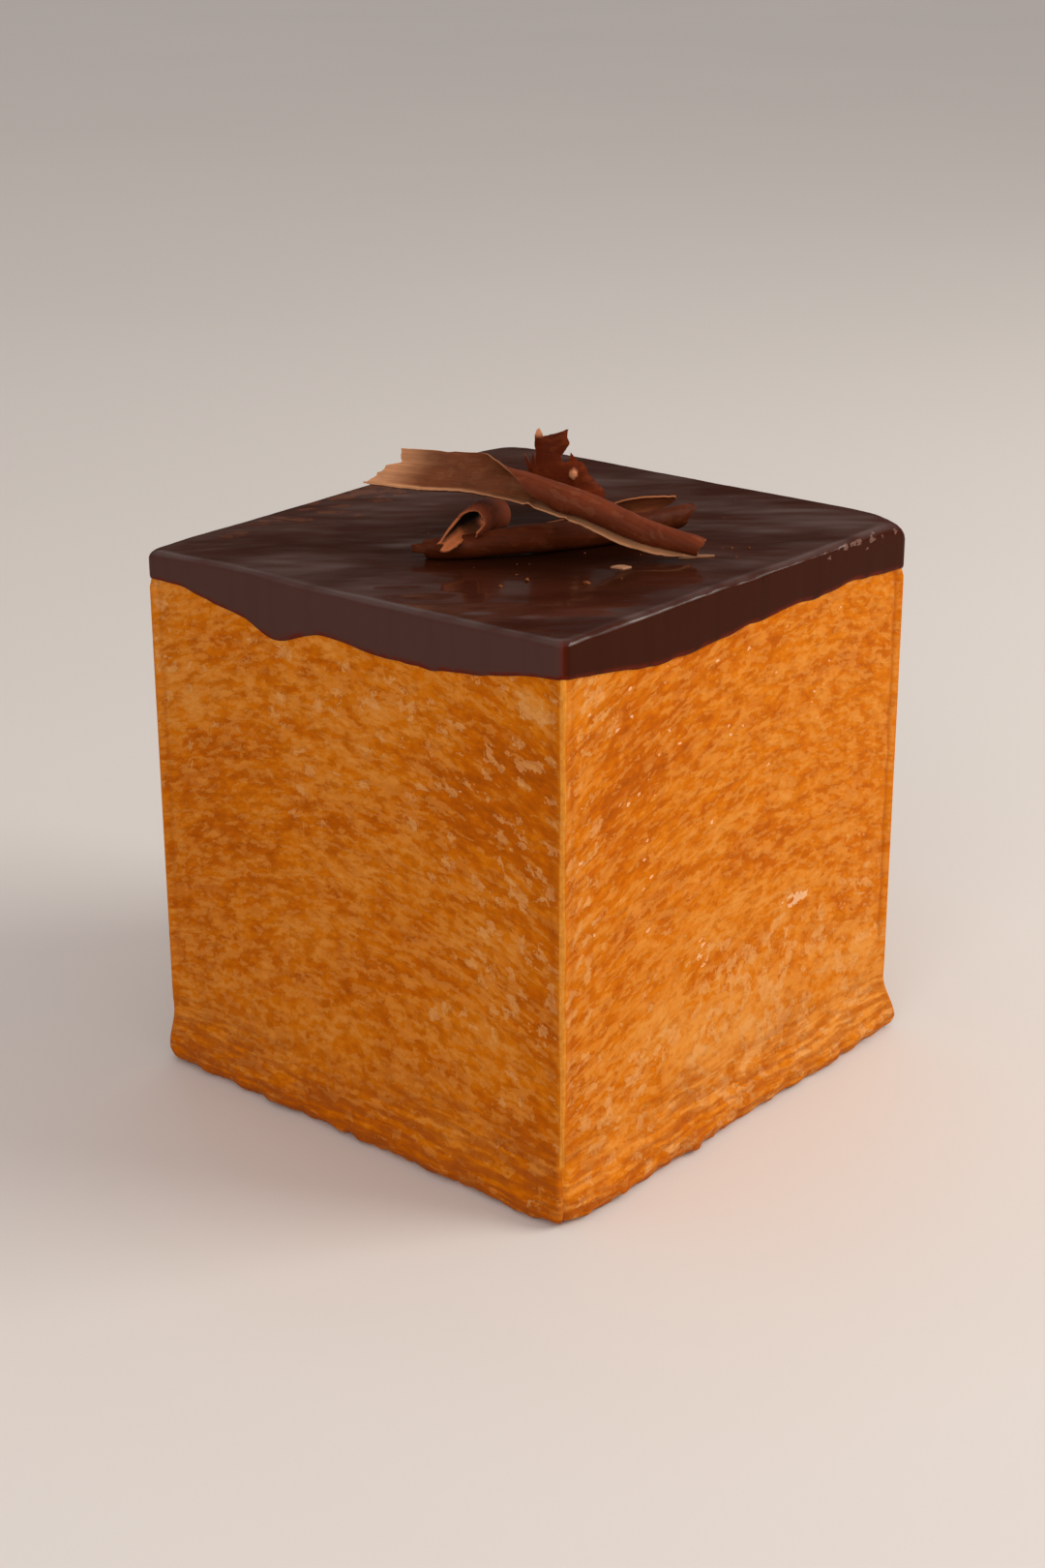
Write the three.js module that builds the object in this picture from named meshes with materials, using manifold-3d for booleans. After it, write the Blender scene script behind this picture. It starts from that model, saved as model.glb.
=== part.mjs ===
// A cube of laminated puff pastry under a cap of dark chocolate glaze, with four chocolate
// shavings heaped in the middle of the glaze.
//
// Millimetres, +Z up, origin at the middle of the base. Seen over the cube's front corner, the -Y
// face is on the left and the +X face on the right.

import * as THREE from "three";
import { mergeVertices } from "three/addons/utils/BufferGeometryUtils.js";
import Module from "manifold-3d";

const wasm = await Module();
wasm.setup();

// ---------------------------------------------------------------- driving dimensions

const HALF_X = 40; // from the middle to the pastry's +X and -X walls
const HALF_Y = 41; // from the middle to its +Y and -Y walls
const GLAZE_TOP = 85.4; // height of the glaze over the base
const LOW_CORNER_SAG = 1.3; // how far the top has slumped at the -X -Y corner
const CLEARANCE = 0.3; // gap kept between pieces that touch

const PASTRY_TOP = 83.1; // under the glaze
const WALL_EDGE_RADIUS = 0.8; // the pastry's upright edges
const WALL_BULGE = 0.25; // the walls' swell half way up
const SHOULDER_RADIUS = 1.5; // the pastry's top edge, under the glaze
const BEAD = { proud: 0.25, width: 0.9 }; // crisp rib along each upright edge
const LAYER = { relief: 0.14, pitch: 3.2, length: 12, arch: 3 }; // waves of the laminated dough
const LIP = { full: 1.5, rise: 9.5, ragged: 0.35, tearLength: 2.6 }; // flared, torn edge round the base
const CRAG = { along: -12, width: 1.6, proud: 1.1, height: 3.6 }; // torn nib on the +X lip

// The lip's rounded foot: how far it is drawn in at each height.
const FOOT_PROFILE = [
  { z: 0, inset: 7.7 },
  { z: 0, inset: 1.7 },
  { z: 0.5, inset: 0.75 },
  { z: 1.4, inset: 0.2 },
  { z: 2.8, inset: 0 },
];
const WALL_RINGS = { firstZ: 4.4, count: 22, crowding: 1.12 }; // crowded towards the foot
const UNDER_SKIRT = { wall: 1.6, seat: 0.7 }; // where the wall ends and its seat starts

const SKIRT_OUT = 0.4; // the glaze's skirt, measured from the pastry's wall
const SKIRT_IN = -0.15;
const GLAZE_UNDERSIDE = PASTRY_TOP + CLEARANCE;
const GLAZE_EDGE_RADIUS = 1.1;
const GLAZE_CORNER_RADIUS = 1.6;
const GLAZE_WAVES = 0.22; // depth of the palette-knife waves on top
const GLAZE_LIP = 0.4; // height of the rounded lower edge of the skirt
const GLAZE_TOP_RINGS = [4, 9, 16, 24, 32]; // distances in from the skirt
const TOP_RING = HALF_X / 2; // the one ring of each hidden level face

const SHAVING_THICKNESS = 0.6;

// Each wall looks along -Y before it is turned. `half` is half its length and `across` its distance
// from the middle. `startDepth` is the glaze skirt's depth at the wall's first corner, and each
// drip adds a swell to it, `at` millimetres from the middle of the wall.
const WALLS = [
  {
    turn: 0,
    lipOut: 2.1,
    half: HALF_X,
    across: HALF_Y,
    startDepth: 5.9,
    footRadius: 4.5,
    drips: [
      { at: 12, deep: 3.2, wide: 22 },
      { at: -13.5, deep: 3.6, wide: 6 },
      { at: -24, deep: 1.3, wide: 6 },
    ],
  },
  {
    turn: 90,
    lipOut: 3.0,
    half: HALF_Y,
    across: HALF_X,
    startDepth: 5.2,
    footRadius: 6,
    drips: [
      { at: -18, deep: 2.3, wide: 19 },
      { at: 29, deep: -0.6, wide: 6 },
    ],
  },
  {
    turn: 180,
    lipOut: 2.3,
    half: HALF_X,
    across: HALF_Y,
    startDepth: 7.0,
    footRadius: 3.5,
    drips: [
      { at: -10, deep: 2.4, wide: 12 },
      { at: 19, deep: 1.7, wide: 8 },
    ],
  },
  {
    turn: 270,
    lipOut: 3.0,
    half: HALF_Y,
    across: HALF_X,
    startDepth: 6.3,
    footRadius: 5,
    drips: [
      { at: -20, deep: 1.4, wide: 10 },
      { at: 13, deep: 3.0, wide: 13 },
    ],
  },
];

// Scraps of chocolate stuck to the glaze at x, y: a pale flake and a splinter by the long shaving.
const SCRAPS = [
  {
    outline: [[-1.5, -0.9], [0.9, -1.1], [1.6, 0.7], [0.2, 0.9], [-0.9, 0.6]],
    thickness: 0.9,
    x: 23.6,
    y: -8.2,
    turn: 12,
  },
  {
    outline: [[-2.6, -0.5], [2.8, 0], [0.4, 0.45], [-2.4, 0.5]],
    thickness: 0.9,
    x: 30.4,
    y: 5.4,
    turn: 62,
  },
];

// ---------------------------------------------------------------- small tools

const lerp = THREE.MathUtils.lerp;
const clamp = THREE.MathUtils.clamp;
const smooth = (value, low, high) => THREE.MathUtils.smoothstep(value, low, high);
const bell = (distance, width) => Math.exp(-((distance / width) ** 2));

/** A fixed pseudo-random number from 0 to 1 for each cell of a grid. */
function cellValue(i, j, seed) {
  const wave = Math.sin(i * 127.1 + j * 311.7 + seed * 74.7) * 43758.5453;
  return wave - Math.floor(wave);
}

/** Smooth noise from -1 to 1 over the plane, one swell to each unit cell. */
function ripple(x, y, seed) {
  const i = Math.floor(x);
  const j = Math.floor(y);
  const u = smooth(x - i, 0, 1);
  const v = smooth(y - j, 0, 1);
  const low = lerp(cellValue(i, j, seed), cellValue(i + 1, j, seed), u);
  const high = lerp(cellValue(i, j + 1, seed), cellValue(i + 1, j + 1, seed), u);
  return 2 * lerp(low, high, v) - 1;
}

/** Height that the slumped top adds at x, y: nothing at three corners, the full sag at the fourth. */
function sag(x, y) {
  return (-LOW_CORNER_SAG * (1 - x / HALF_X) * (1 - y / HALF_Y)) / 4;
}

/** Height of the glaze's top at x, y. */
function glazeTop(x, y) {
  const waves = GLAZE_WAVES * ripple(x / 17 + 3.3, y / 11 + 1.7, 5);
  return GLAZE_TOP + sag(x, y) + waves;
}

// ---------------------------------------------------------------- the square outline

const STATIONS = wallStations();

/** Places round the cube: close together at the upright edges, evenly spaced between them. */
function wallStations() {
  const steps = 16;
  const edgeBand = 2.1;
  const stations = [];
  WALLS.forEach((wall, index) => {
    const inner = wall.half - edgeBand;
    const places = [-wall.half, -wall.half + BEAD.width];
    for (let i = 0; i <= steps; i += 1) places.push(lerp(-inner, inner, i / steps));
    places.push(wall.half - BEAD.width);
    places.forEach((along) => stations.push({ wall, index, along }));
  });
  return stations;
}

function nextWall(index) {
  return WALLS[(index + 1) % WALLS.length];
}

/** Distance from a station to the nearer upright edge. */
function edgeDistance({ wall, along }) {
  return wall.half - Math.abs(along);
}

/** A point of a square ring: the station's wall moved out by `out`, its corners rounded. */
function ringPoint(station, out, cornerRadius, z) {
  const { wall, along } = station;
  const reach = wall.half + out;
  let shift = (edgeDistance(station) * reach) / wall.half;
  let inset = 0;
  if (shift < cornerRadius) {
    shift = (1 - Math.SQRT1_2) * cornerRadius + Math.SQRT1_2 * shift;
    inset = cornerRadius - Math.sqrt(cornerRadius ** 2 - (cornerRadius - shift) ** 2);
  }
  const side = along < 0 ? -1 : 1;
  const point = new THREE.Vector3(side * (reach - shift), inset - wall.across - out, z);
  return point.applyAxisAngle(new THREE.Vector3(0, 0, 1), THREE.MathUtils.degToRad(wall.turn));
}

/** A closed body wrapped over square rings, from a pole under the first to a pole over the last. */
function wrapRings(lowPole, rings, highPole) {
  const count = STATIONS.length;
  const positions = [lowPole, ...rings.flat(), highPole].flatMap((p) => [p.x, p.y, p.z]);
  const last = 1 + rings.length * count;
  const faces = [];
  for (let j = 0; j < count; j += 1) {
    const next = (j + 1) % count;
    faces.push(0, 1 + next, 1 + j);
    for (let i = 0; i < rings.length - 1; i += 1) {
      const a = 1 + i * count;
      const b = a + count;
      faces.push(a + j, a + next, b + next, a + j, b + next, b + j);
    }
    faces.push(last - count + j, last - count + next, last);
  }
  return indexedGeometry(positions, faces);
}

function indexedGeometry(positions, faces) {
  const geometry = new THREE.BufferGeometry();
  geometry.setAttribute("position", new THREE.Float32BufferAttribute(positions, 3));
  geometry.setIndex(faces);
  return geometry;
}

// ---------------------------------------------------------------- the pastry

/** Height of the glaze skirt's lower edge at a station. */
function dripEdge({ wall, index, along }) {
  const t = (along / wall.half + 1) / 2;
  const endDepth = nextWall(index).startDepth;
  const fade = 1 - (2 * t - 1) ** 6;
  const swell = wall.drips.reduce((sum, drip) => sum + drip.deep * bell(along - drip.at, drip.wide), 0);
  return GLAZE_TOP - lerp(wall.startDepth, endDepth, t) - swell * fade;
}

/** How far the laminated wall stands out at a station and height. */
function wallRelief(station, z) {
  const { wall, index, along } = station;
  const arch = LAYER.arch * (1 - (along / wall.half) ** 2);
  const layers = LAYER.relief * ripple(along / LAYER.length, (z - arch) / LAYER.pitch, 11 + index);
  const bulge = WALL_BULGE * Math.sin((Math.PI * z) / PASTRY_TOP) * (1 - (along / wall.half) ** 2);
  const rib = BEAD.proud * bell(edgeDistance(station) - BEAD.width / 2, BEAD.width);
  return layers + bulge + rib;
}

/** How far the lip round the base flares out at a station and height, with its torn edge. */
function lipFlare(station, z) {
  const { wall, index, along } = station;
  const reach = lerp(wall.lipOut, nextWall(index).lipOut, (along / wall.half + 1) / 2);
  const flare = reach * (1 - smooth(z, LIP.full, LIP.rise));
  const torn = LIP.ragged * ripple(along / LIP.tearLength, index, 23) * (1 - smooth(z, 0, LIP.rise));
  const onFront = wall.turn === 90 ? 1 : 0;
  const crag = onFront * CRAG.proud * bell(along - CRAG.along, CRAG.width) * (1 - smooth(z, 1, CRAG.height));
  return flare + torn + crag;
}

/** The outline's corner radius at a height: the walls' crisp edges, wider round the foot. */
function pastryCornerRadius({ wall, along, index }, z) {
  const nearFoot = along < 0 ? wall.footRadius : nextWall(index).footRadius;
  return lerp(nearFoot, WALL_EDGE_RADIUS, smooth(z, 0, LIP.rise + 3));
}

function pastryRing(heightAt, insetAt) {
  return STATIONS.map((station) => {
    const z = heightAt(station);
    const out = wallRelief(station, z) + lipFlare(station, z) - insetAt(station);
    return ringPoint(station, out, pastryCornerRadius(station, z), z);
  });
}

/** A ring of the pastry's hidden top, drawn in towards the middle. */
function pastryTopRing(inset, drop) {
  return STATIONS.map((station) => {
    const point = ringPoint(station, -inset, WALL_EDGE_RADIUS, PASTRY_TOP - drop);
    point.z += sag(point.x, point.y);
    return point;
  });
}

/** The step just under the skirt, where the pastry draws in to make room for the glaze. */
function pastrySeat(inset) {
  return STATIONS.map((station) => {
    return ringPoint(station, -inset, WALL_EDGE_RADIUS, dripEdge(station) - UNDER_SKIRT.seat);
  });
}

function pastryGeometry() {
  const rings = FOOT_PROFILE.map(({ z, inset }) => pastryRing(() => z, () => inset));
  for (let i = 0; i < WALL_RINGS.count; i += 1) {
    const share = (i / (WALL_RINGS.count - 1)) ** WALL_RINGS.crowding;
    const heightAt = (station) => lerp(WALL_RINGS.firstZ, dripEdge(station) - UNDER_SKIRT.wall, share);
    rings.push(pastryRing(heightAt, () => 0));
  }
  const seat = CLEARANCE - SKIRT_IN;
  rings.push(pastrySeat(seat));
  for (const angle of [0, 45, 90]) {
    const a = THREE.MathUtils.degToRad(angle);
    const inset = seat + SHOULDER_RADIUS * (1 - Math.cos(a));
    rings.push(pastryTopRing(inset, SHOULDER_RADIUS * (1 - Math.sin(a))));
  }
  rings.push(pastryTopRing(TOP_RING, 0));
  const middle = new THREE.Vector3(0, 0, PASTRY_TOP + sag(0, 0));
  return wrapRings(new THREE.Vector3(0, 0, 0), rings, middle);
}

// ---------------------------------------------------------------- the glaze

/** A ring of the skirt. Its inner side follows the pastry's crisp edges, its outer side is rounder. */
function skirtRing(out, heightAt) {
  const share = (out - SKIRT_IN) / (SKIRT_OUT - SKIRT_IN);
  const cornerRadius = lerp(WALL_EDGE_RADIUS, GLAZE_CORNER_RADIUS, share);
  return STATIONS.map((station) => ringPoint(station, out, cornerRadius, heightAt(station)));
}

/** A ring of the glaze's top edge or top, `inset` from the skirt and `drop` under the top. */
function glazeTopRing(inset, drop) {
  return STATIONS.map((station) => {
    const point = ringPoint(station, SKIRT_OUT - inset, GLAZE_CORNER_RADIUS, 0);
    point.z = glazeTop(point.x, point.y) - drop;
    return point;
  });
}

/** A ring of the glaze's underside, which follows the pastry's top. */
function glazeUnderRing(inset) {
  return STATIONS.map((station) => {
    const point = ringPoint(station, SKIRT_IN - inset, WALL_EDGE_RADIUS, 0);
    point.z = GLAZE_UNDERSIDE + sag(point.x, point.y);
    return point;
  });
}

function glazeGeometry() {
  const r = GLAZE_EDGE_RADIUS;
  const rings = [glazeUnderRing(TOP_RING), glazeUnderRing(0)];
  const overEdge = (station) => dripEdge(station) + GLAZE_LIP;
  rings.push(skirtRing(SKIRT_IN, overEdge));
  rings.push(skirtRing((SKIRT_IN + SKIRT_OUT) / 2, dripEdge));
  rings.push(skirtRing(SKIRT_OUT, overEdge));
  const skirtTop = GLAZE_TOP - LOW_CORNER_SAG - r;
  for (const share of [1 / 3, 2 / 3]) {
    rings.push(skirtRing(SKIRT_OUT, (station) => lerp(overEdge(station), skirtTop, share)));
  }
  for (const angle of [0, 30, 60, 90]) {
    const a = THREE.MathUtils.degToRad(angle);
    rings.push(glazeTopRing(r * (1 - Math.cos(a)), r * (1 - Math.sin(a))));
  }
  for (const inset of GLAZE_TOP_RINGS) rings.push(glazeTopRing(inset, 0));
  const low = new THREE.Vector3(0, 0, GLAZE_UNDERSIDE + sag(0, 0));
  return wrapRings(low, rings, new THREE.Vector3(0, 0, glazeTop(0, 0)));
}

/** A flat scrap of chocolate: `outline` is its shape, turned by `turn` degrees and laid at x, y. */
function scrapGeometry({ outline, thickness, x, y, turn }) {
  const shape = new THREE.Shape(outline.map(([u, v]) => new THREE.Vector2(u, v)));
  const scrap = new THREE.ExtrudeGeometry(shape, { depth: thickness, bevelEnabled: false });
  scrap.rotateZ(THREE.MathUtils.degToRad(turn));
  scrap.translate(x, y, glazeTop(x, y) - thickness / 2);
  return scrap;
}

function toSolid(geometry) {
  const bare = geometry.clone();
  bare.deleteAttribute("normal");
  bare.deleteAttribute("uv");
  const merged = mergeVertices(bare, 1e-4);
  return new wasm.Manifold(
    new wasm.Mesh({
      numProp: 3,
      vertProperties: new Float32Array(merged.getAttribute("position").array),
      triVerts: new Uint32Array(merged.getIndex().array),
    }),
  );
}

/** The glaze with the flake and the splinter that lie stuck on it. */
function glazeWithScraps() {
  let solid = toSolid(glazeGeometry());
  for (const scrap of SCRAPS) solid = solid.add(toSolid(scrapGeometry(scrap)));
  const { vertProperties, triVerts } = solid.getMesh();
  return indexedGeometry(Array.from(vertProperties), Array.from(triVerts));
}

// ---------------------------------------------------------------- chocolate shavings

/**
 * A thin closed sheet. `surface(s, w)` is a point of its middle surface, s from end to end and w
 * from edge to edge, both 0 to 1. Both faces are split into triangles alike.
 */
function sheetGeometry(surface, alongSteps, acrossSteps, thickness) {
  const positions = [];
  const step = 1e-3;
  for (const side of [0.5, -0.5]) {
    for (let i = 0; i <= alongSteps; i += 1) {
      for (let j = 0; j <= acrossSteps; j += 1) {
        const s = clamp(i / alongSteps, step, 1 - step);
        const w = clamp(j / acrossSteps, step, 1 - step);
        const alongSheet = surface(s + step, w).sub(surface(s - step, w));
        const acrossSheet = surface(s, w + step).sub(surface(s, w - step));
        const normal = alongSheet.cross(acrossSheet).normalize();
        const point = surface(i / alongSteps, j / acrossSteps).addScaledVector(normal, side * thickness);
        positions.push(point.x, point.y, point.z);
      }
    }
  }
  const row = acrossSteps + 1;
  const sheet = row * (alongSteps + 1);
  const faces = [];
  const quad = (a, b, c, d) => faces.push(a, b, c, a, c, d);
  for (let i = 0; i < alongSteps; i += 1) {
    for (let j = 0; j < acrossSteps; j += 1) {
      const a = i * row + j;
      faces.push(a, a + row, a + row + 1, a, a + row + 1, a + 1);
      const b = a + sheet;
      faces.push(b, b + row + 1, b + row, b, b + 1, b + row + 1);
    }
  }
  for (let i = 0; i < alongSteps; i += 1) {
    const near = i * row;
    const far = near + acrossSteps;
    quad(near, near + sheet, near + row + sheet, near + row);
    quad(far, far + row, far + row + sheet, far + sheet);
  }
  for (let j = 0; j < acrossSteps; j += 1) {
    const tail = alongSteps * row + j;
    quad(j, j + 1, j + 1 + sheet, j + sheet);
    quad(tail, tail + sheet, tail + 1 + sheet, tail + 1);
  }
  return indexedGeometry(positions, faces);
}

/** Heights over the glaze become heights over the base. */
function onGlaze(points) {
  return points.map(([x, y, up]) => new THREE.Vector3(x, y, glazeTop(x, y) + up));
}

/**
 * A shaving rolled round an axis. `path` is that axis, or the sheet's own lower edge where
 * `followsEdge` is set. `roll(s)` gives the angles, in degrees, of the sheet's two edges round the
 * axis, its width from edge to edge, and `flare`, how much wider the first edge lies than the
 * second. 0 degrees is level with the axis and 90 degrees over it. `tear(w)` gives where the two
 * torn ends lie along the path.
 */
function rolledShaving({ path, followsEdge = false, roll, tear, steps }) {
  const curve = new THREE.CatmullRomCurve3(onGlaze(path));
  const up = new THREE.Vector3(0, 0, 1);
  const surface = (s, w) => {
    const [start, end] = tear(w);
    const place = clamp(lerp(start, end, s), 0, 1);
    const tangent = curve.getTangent(place);
    const side = tangent.clone().cross(up).normalize();
    const lift = side.clone().cross(tangent);
    const { from, to, width, flare } = roll(place);
    const radius = width / THREE.MathUtils.degToRad(Math.abs(to - from));
    const around = (degrees, distance) => {
      const angle = THREE.MathUtils.degToRad(degrees);
      const level = side.clone().multiplyScalar(distance * Math.cos(angle));
      return level.addScaledVector(lift, distance * Math.sin(angle));
    };
    const point = curve.getPoint(place);
    if (followsEdge) point.sub(around(from, radius * flare));
    return point.add(around(lerp(from, to, w), radius * lerp(flare, 1, w)));
  };
  return sheetGeometry(surface, steps[0], steps[1], SHAVING_THICKNESS);
}

/** The long shaving on top: an open trough at its left end, rolled into a tube at its right end. */
function longShaving() {
  return rolledShaving({
    path: [
      [-14.7, -20.7, 9.8],
      [-7.2, -17.6, 9.6],
      [0.6, -14.4, 9.2],
      [7.3, -11.2, 7.7],
      [15.6, -7.6, 4.3],
      [22.3, -4.5, 2.0],
      [31.4, 0.3, 0.75],
    ],
    followsEdge: true,
    roll: (s) => {
      const rolled = smooth(s, 0.22, 0.72);
      return {
        from: lerp(290, 312, rolled),
        to: lerp(182, -10, rolled),
        width: lerp(8.6, 10.8, rolled) - 4 * smooth(s, 0.7, 1),
        flare: lerp(1, 1.4, rolled),
      };
    },
    tear: (w) => [
      0.06 * smooth(w, 0.25, 0.8) + 0.015 * (1 + ripple(w * 6, 0, 31)),
      0.92 + 0.08 * smooth(w, 0.2, 0.6) - 0.01 * (1 + ripple(w * 5, 0, 32)),
    ],
    steps: [32, 10],
  });
}

/** The shaving under it: a tube lying on the glaze, narrow at its left end, its right end open. */
function lowerShaving() {
  return rolledShaving({
    path: [
      [-4.4, -21.5, 1.6],
      [2.2, -17.0, 1.8],
      [6.6, -11.7, 2.35],
      [11.2, -3.6, 2.75],
      [14.6, 6.5, 2.9],
      [17.2, 17.5, 2.8],
    ],
    roll: (s) => ({
      from: 250,
      to: -75,
      width: lerp(5.0, 11.4, smooth(s, 0, 0.6)),
      flare: 0.85,
    }),
    tear: (w) => [0.015 * (1 + ripple(w * 5, 0, 41)), 0.96 + 0.04 * ripple(w * 4, 0, 42)],
    steps: [24, 12],
  });
}

/** The short wide roll behind the tube's left end, its mouth to the front and a tongue below it. */
function shortShaving() {
  return rolledShaving({
    path: [
      [0.1, -8.4, 3.6],
      [1.3, -12.5, 4.95],
      [2.7, -17.2, 6.2],
      [4.5, -23.7, 6.0],
    ],
    roll: (s) => ({ from: -62, to: 212, width: lerp(10.6, 13.6, s), flare: 1.06 }),
    tear: (w) => [0, lerp(0.97, 0.64, smooth(w, 0.04, 0.22)) + 0.03 * ripple(w * 7, 0, 51)],
    steps: [10, 14],
  });
}

/** The shard standing on edge behind the long shaving, its right side notched and sloping. */
function uprightShard() {
  const [foot] = onGlaze([[0.2, -0.6, 0.6]]);
  const height = 14.8;
  const lean = new THREE.Vector3(-0.05, 0.2, 1);
  const across = new THREE.Vector3(0.76, 0.65, 0);
  const out = new THREE.Vector3(0.65, -0.76, 0);
  const surface = (s, w) => {
    const notch = 0.9 * bell(s - 0.68, 0.05) * smooth(w, 0.5, 1);
    const wide = lerp(10.8, 4.4, smooth(s, 0.1, 0.74)) - notch;
    const curve = 0.8 * Math.sin(Math.PI * w) + 0.6 * s;
    return foot
      .clone()
      .addScaledVector(lean, height * s * lerp(0.97, 1, w))
      .addScaledVector(across, wide * w)
      .addScaledVector(out, curve);
  };
  return sheetGeometry(surface, 12, 6, SHAVING_THICKNESS);
}

// ---------------------------------------------------------------- the object

function addPiece(group, name, geometry, color, roughness) {
  const material = new THREE.MeshStandardMaterial({ color, roughness, metalness: 0 });
  const mesh = new THREE.Mesh(geometry, material);
  mesh.name = name;
  group.add(mesh);
}

const object = new THREE.Group();
addPiece(object, "pastry_cube", pastryGeometry(), 0xc4752a, 0.55);
addPiece(object, "chocolate_glaze", glazeWithScraps(), 0x3a221c, 0.2);
addPiece(object, "curl_long", longShaving(), 0x8a5638, 0.5);
addPiece(object, "curl_under", lowerShaving(), 0x4a2214, 0.5);
addPiece(object, "curl_short", shortShaving(), 0x5a2c1a, 0.5);
addPiece(object, "curl_upright", uprightShard(), 0x6a2f18, 0.5);

export default object;
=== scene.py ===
"""A cube of laminated puff pastry under dark chocolate glaze, with chocolate shavings on top.

Every piece is modelled in millimetres in the frame's own axes: +Z up, origin in the middle of the
base, the -Y wall on the picture's left and the +X wall on its right. Meshes are written in metres.
"""

import logging
import math
import random
from dataclasses import dataclass, field, fields
from enum import Enum, IntEnum

import bmesh
import bpy
import numpy as np
from mathutils import Matrix, Vector
from mathutils.geometry import delaunay_2d_cdt


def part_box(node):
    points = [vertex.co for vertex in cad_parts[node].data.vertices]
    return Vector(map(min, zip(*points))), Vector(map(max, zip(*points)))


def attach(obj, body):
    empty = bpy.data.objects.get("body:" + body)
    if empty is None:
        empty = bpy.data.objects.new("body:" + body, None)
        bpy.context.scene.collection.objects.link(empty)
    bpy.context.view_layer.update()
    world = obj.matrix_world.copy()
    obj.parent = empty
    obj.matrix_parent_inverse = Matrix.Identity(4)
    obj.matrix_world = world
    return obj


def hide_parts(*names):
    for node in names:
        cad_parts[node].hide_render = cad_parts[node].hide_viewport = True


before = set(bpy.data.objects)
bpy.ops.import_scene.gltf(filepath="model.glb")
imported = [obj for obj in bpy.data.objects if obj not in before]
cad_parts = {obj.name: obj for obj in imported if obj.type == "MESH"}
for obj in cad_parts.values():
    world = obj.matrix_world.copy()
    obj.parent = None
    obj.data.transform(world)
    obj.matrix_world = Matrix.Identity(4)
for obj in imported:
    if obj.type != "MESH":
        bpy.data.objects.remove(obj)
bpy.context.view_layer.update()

log = logging.getLogger("pastry")

MM = 0.001
Array = np.ndarray
Colour = tuple[float, float, float]


# ---------------------------------------------------------------- small tools


class Pattern(IntEnum):
    """The seed of each ripple, so that no two of them look alike."""

    GLAZE_TOP = 5
    WALL_WAVES = 11
    TORN_LIP = 23
    LIP_SHREDS = 29
    SHAVING_RIDGES = 33
    SHAVING_SWAY = 35
    FOOT_LIFT = 37
    FOOT_SHREDS = 39
    BEAD_WIDTH = 43
    FOOT_LIMIT = 47
    KNIFE_WAVES = 53
    KNIFE_LINES = 57
    UPPER_EDGE = 59
    DRIP_SCALLOPS = 61
    SKIRT_SWAY = 67
    DOUGH_LAYERS = 71
    FOOT_SHELVES = 81
    FIRST_EDGE = 91
    LAST_EDGE = 95
    LONG_ENDS = 111
    LOWER_ENDS = 121
    SHORT_ENDS = 131
    SHARD_RIM_X = 141
    SHARD_RIM_Y = 142
    SCRAP_RIM = 151


def srgb(red: int, green: int, blue: int) -> Colour:
    """Turns a screen colour, 0 to 255 a channel, into the linear colour that shaders use."""
    return tuple(((c / 255 + 0.055) / 1.055) ** 2.4 if c > 10 else c / 3295 for c in (red, green, blue))


def lerp(low: Array, high: Array, share: Array) -> Array:
    """Blends from `low` to `high`."""
    return low + (high - low) * share


def smooth(value: Array, low: float, high: float) -> Array:
    """Rises smoothly from 0 at `low` to 1 at `high`."""
    t = np.clip((np.asarray(value, float) - low) / (high - low), 0, 1)
    return t * t * (3 - 2 * t)


def bell(distance: Array, width: float) -> Array:
    """A bell curve, 1 at no distance."""
    return np.exp(-((np.asarray(distance, float) / width) ** 2))


def ripple(x: Array, y: Array, seed: float) -> Array:
    """Smooth noise over the plane, one swell to each unit cell.

    Args:
        x: Places along the first axis, in cells.
        y: Places along the second axis, in cells.
        seed: Picks the pattern.

    Returns:
        Values from -1 to 1, of the shape that x and y share.
    """
    x, y = np.broadcast_arrays(np.asarray(x, float), np.asarray(y, float))
    i, j = np.floor(x), np.floor(y)

    def cell(column: Array, row: Array) -> Array:
        """A value from 0 to 1 for each cell, the same on every run."""
        wave = np.sin(column * 127.1 + row * 311.7 + seed * 74.7) * 43758.5453
        return wave - np.floor(wave)

    u, v = smooth(x - i, 0, 1), smooth(y - j, 0, 1)
    low = lerp(cell(i, j), cell(i + 1, j), u)
    high = lerp(cell(i, j + 1), cell(i + 1, j + 1), u)
    return 2 * lerp(low, high, v) - 1


def layered(x: Array, y: Array, seed: float, octaves: int = 3) -> Array:
    """Adds finer and finer ripples together.

    Args:
        x: Places along the first axis, in cells of the widest ripple.
        y: Places along the second axis.
        seed: Picks the pattern.
        octaves: How many ripples, each half as wide and half as high as the last.

    Returns:
        Values from about -1 to 1.
    """
    total = sum(ripple(x * 2**k, y * 2**k, seed + k) / 2**k for k in range(octaves))
    return total / (2 - 0.5 ** (octaves - 1))


def make_piece(name: str, points: Array, faces: list, values: dict[str, Array]) -> bpy.types.Object:
    """Makes a mesh object from points in millimetres.

    Args:
        name: The piece's name.
        points: One row of x, y, z for each vertex.
        faces: Tuples of vertex numbers.
        values: Named vectors, one row for each face corner in the order of the faces.

    Returns:
        The new object, linked to the scene.
    """
    mesh = bpy.data.meshes.new(name)
    mesh.from_pydata((points * MM).tolist(), [], faces)
    for label, rows in values.items():
        layer = mesh.attributes.new(label, "FLOAT_VECTOR", "CORNER")
        layer.data.foreach_set("vector", np.ascontiguousarray(rows, np.float32).ravel())
    mesh.polygons.foreach_set("use_smooth", np.ones(len(mesh.polygons), bool))
    mesh.set_sharp_from_angle(angle=math.radians(50))
    piece = bpy.data.objects.new(name, mesh)
    bpy.context.scene.collection.objects.link(piece)
    return piece


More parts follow.
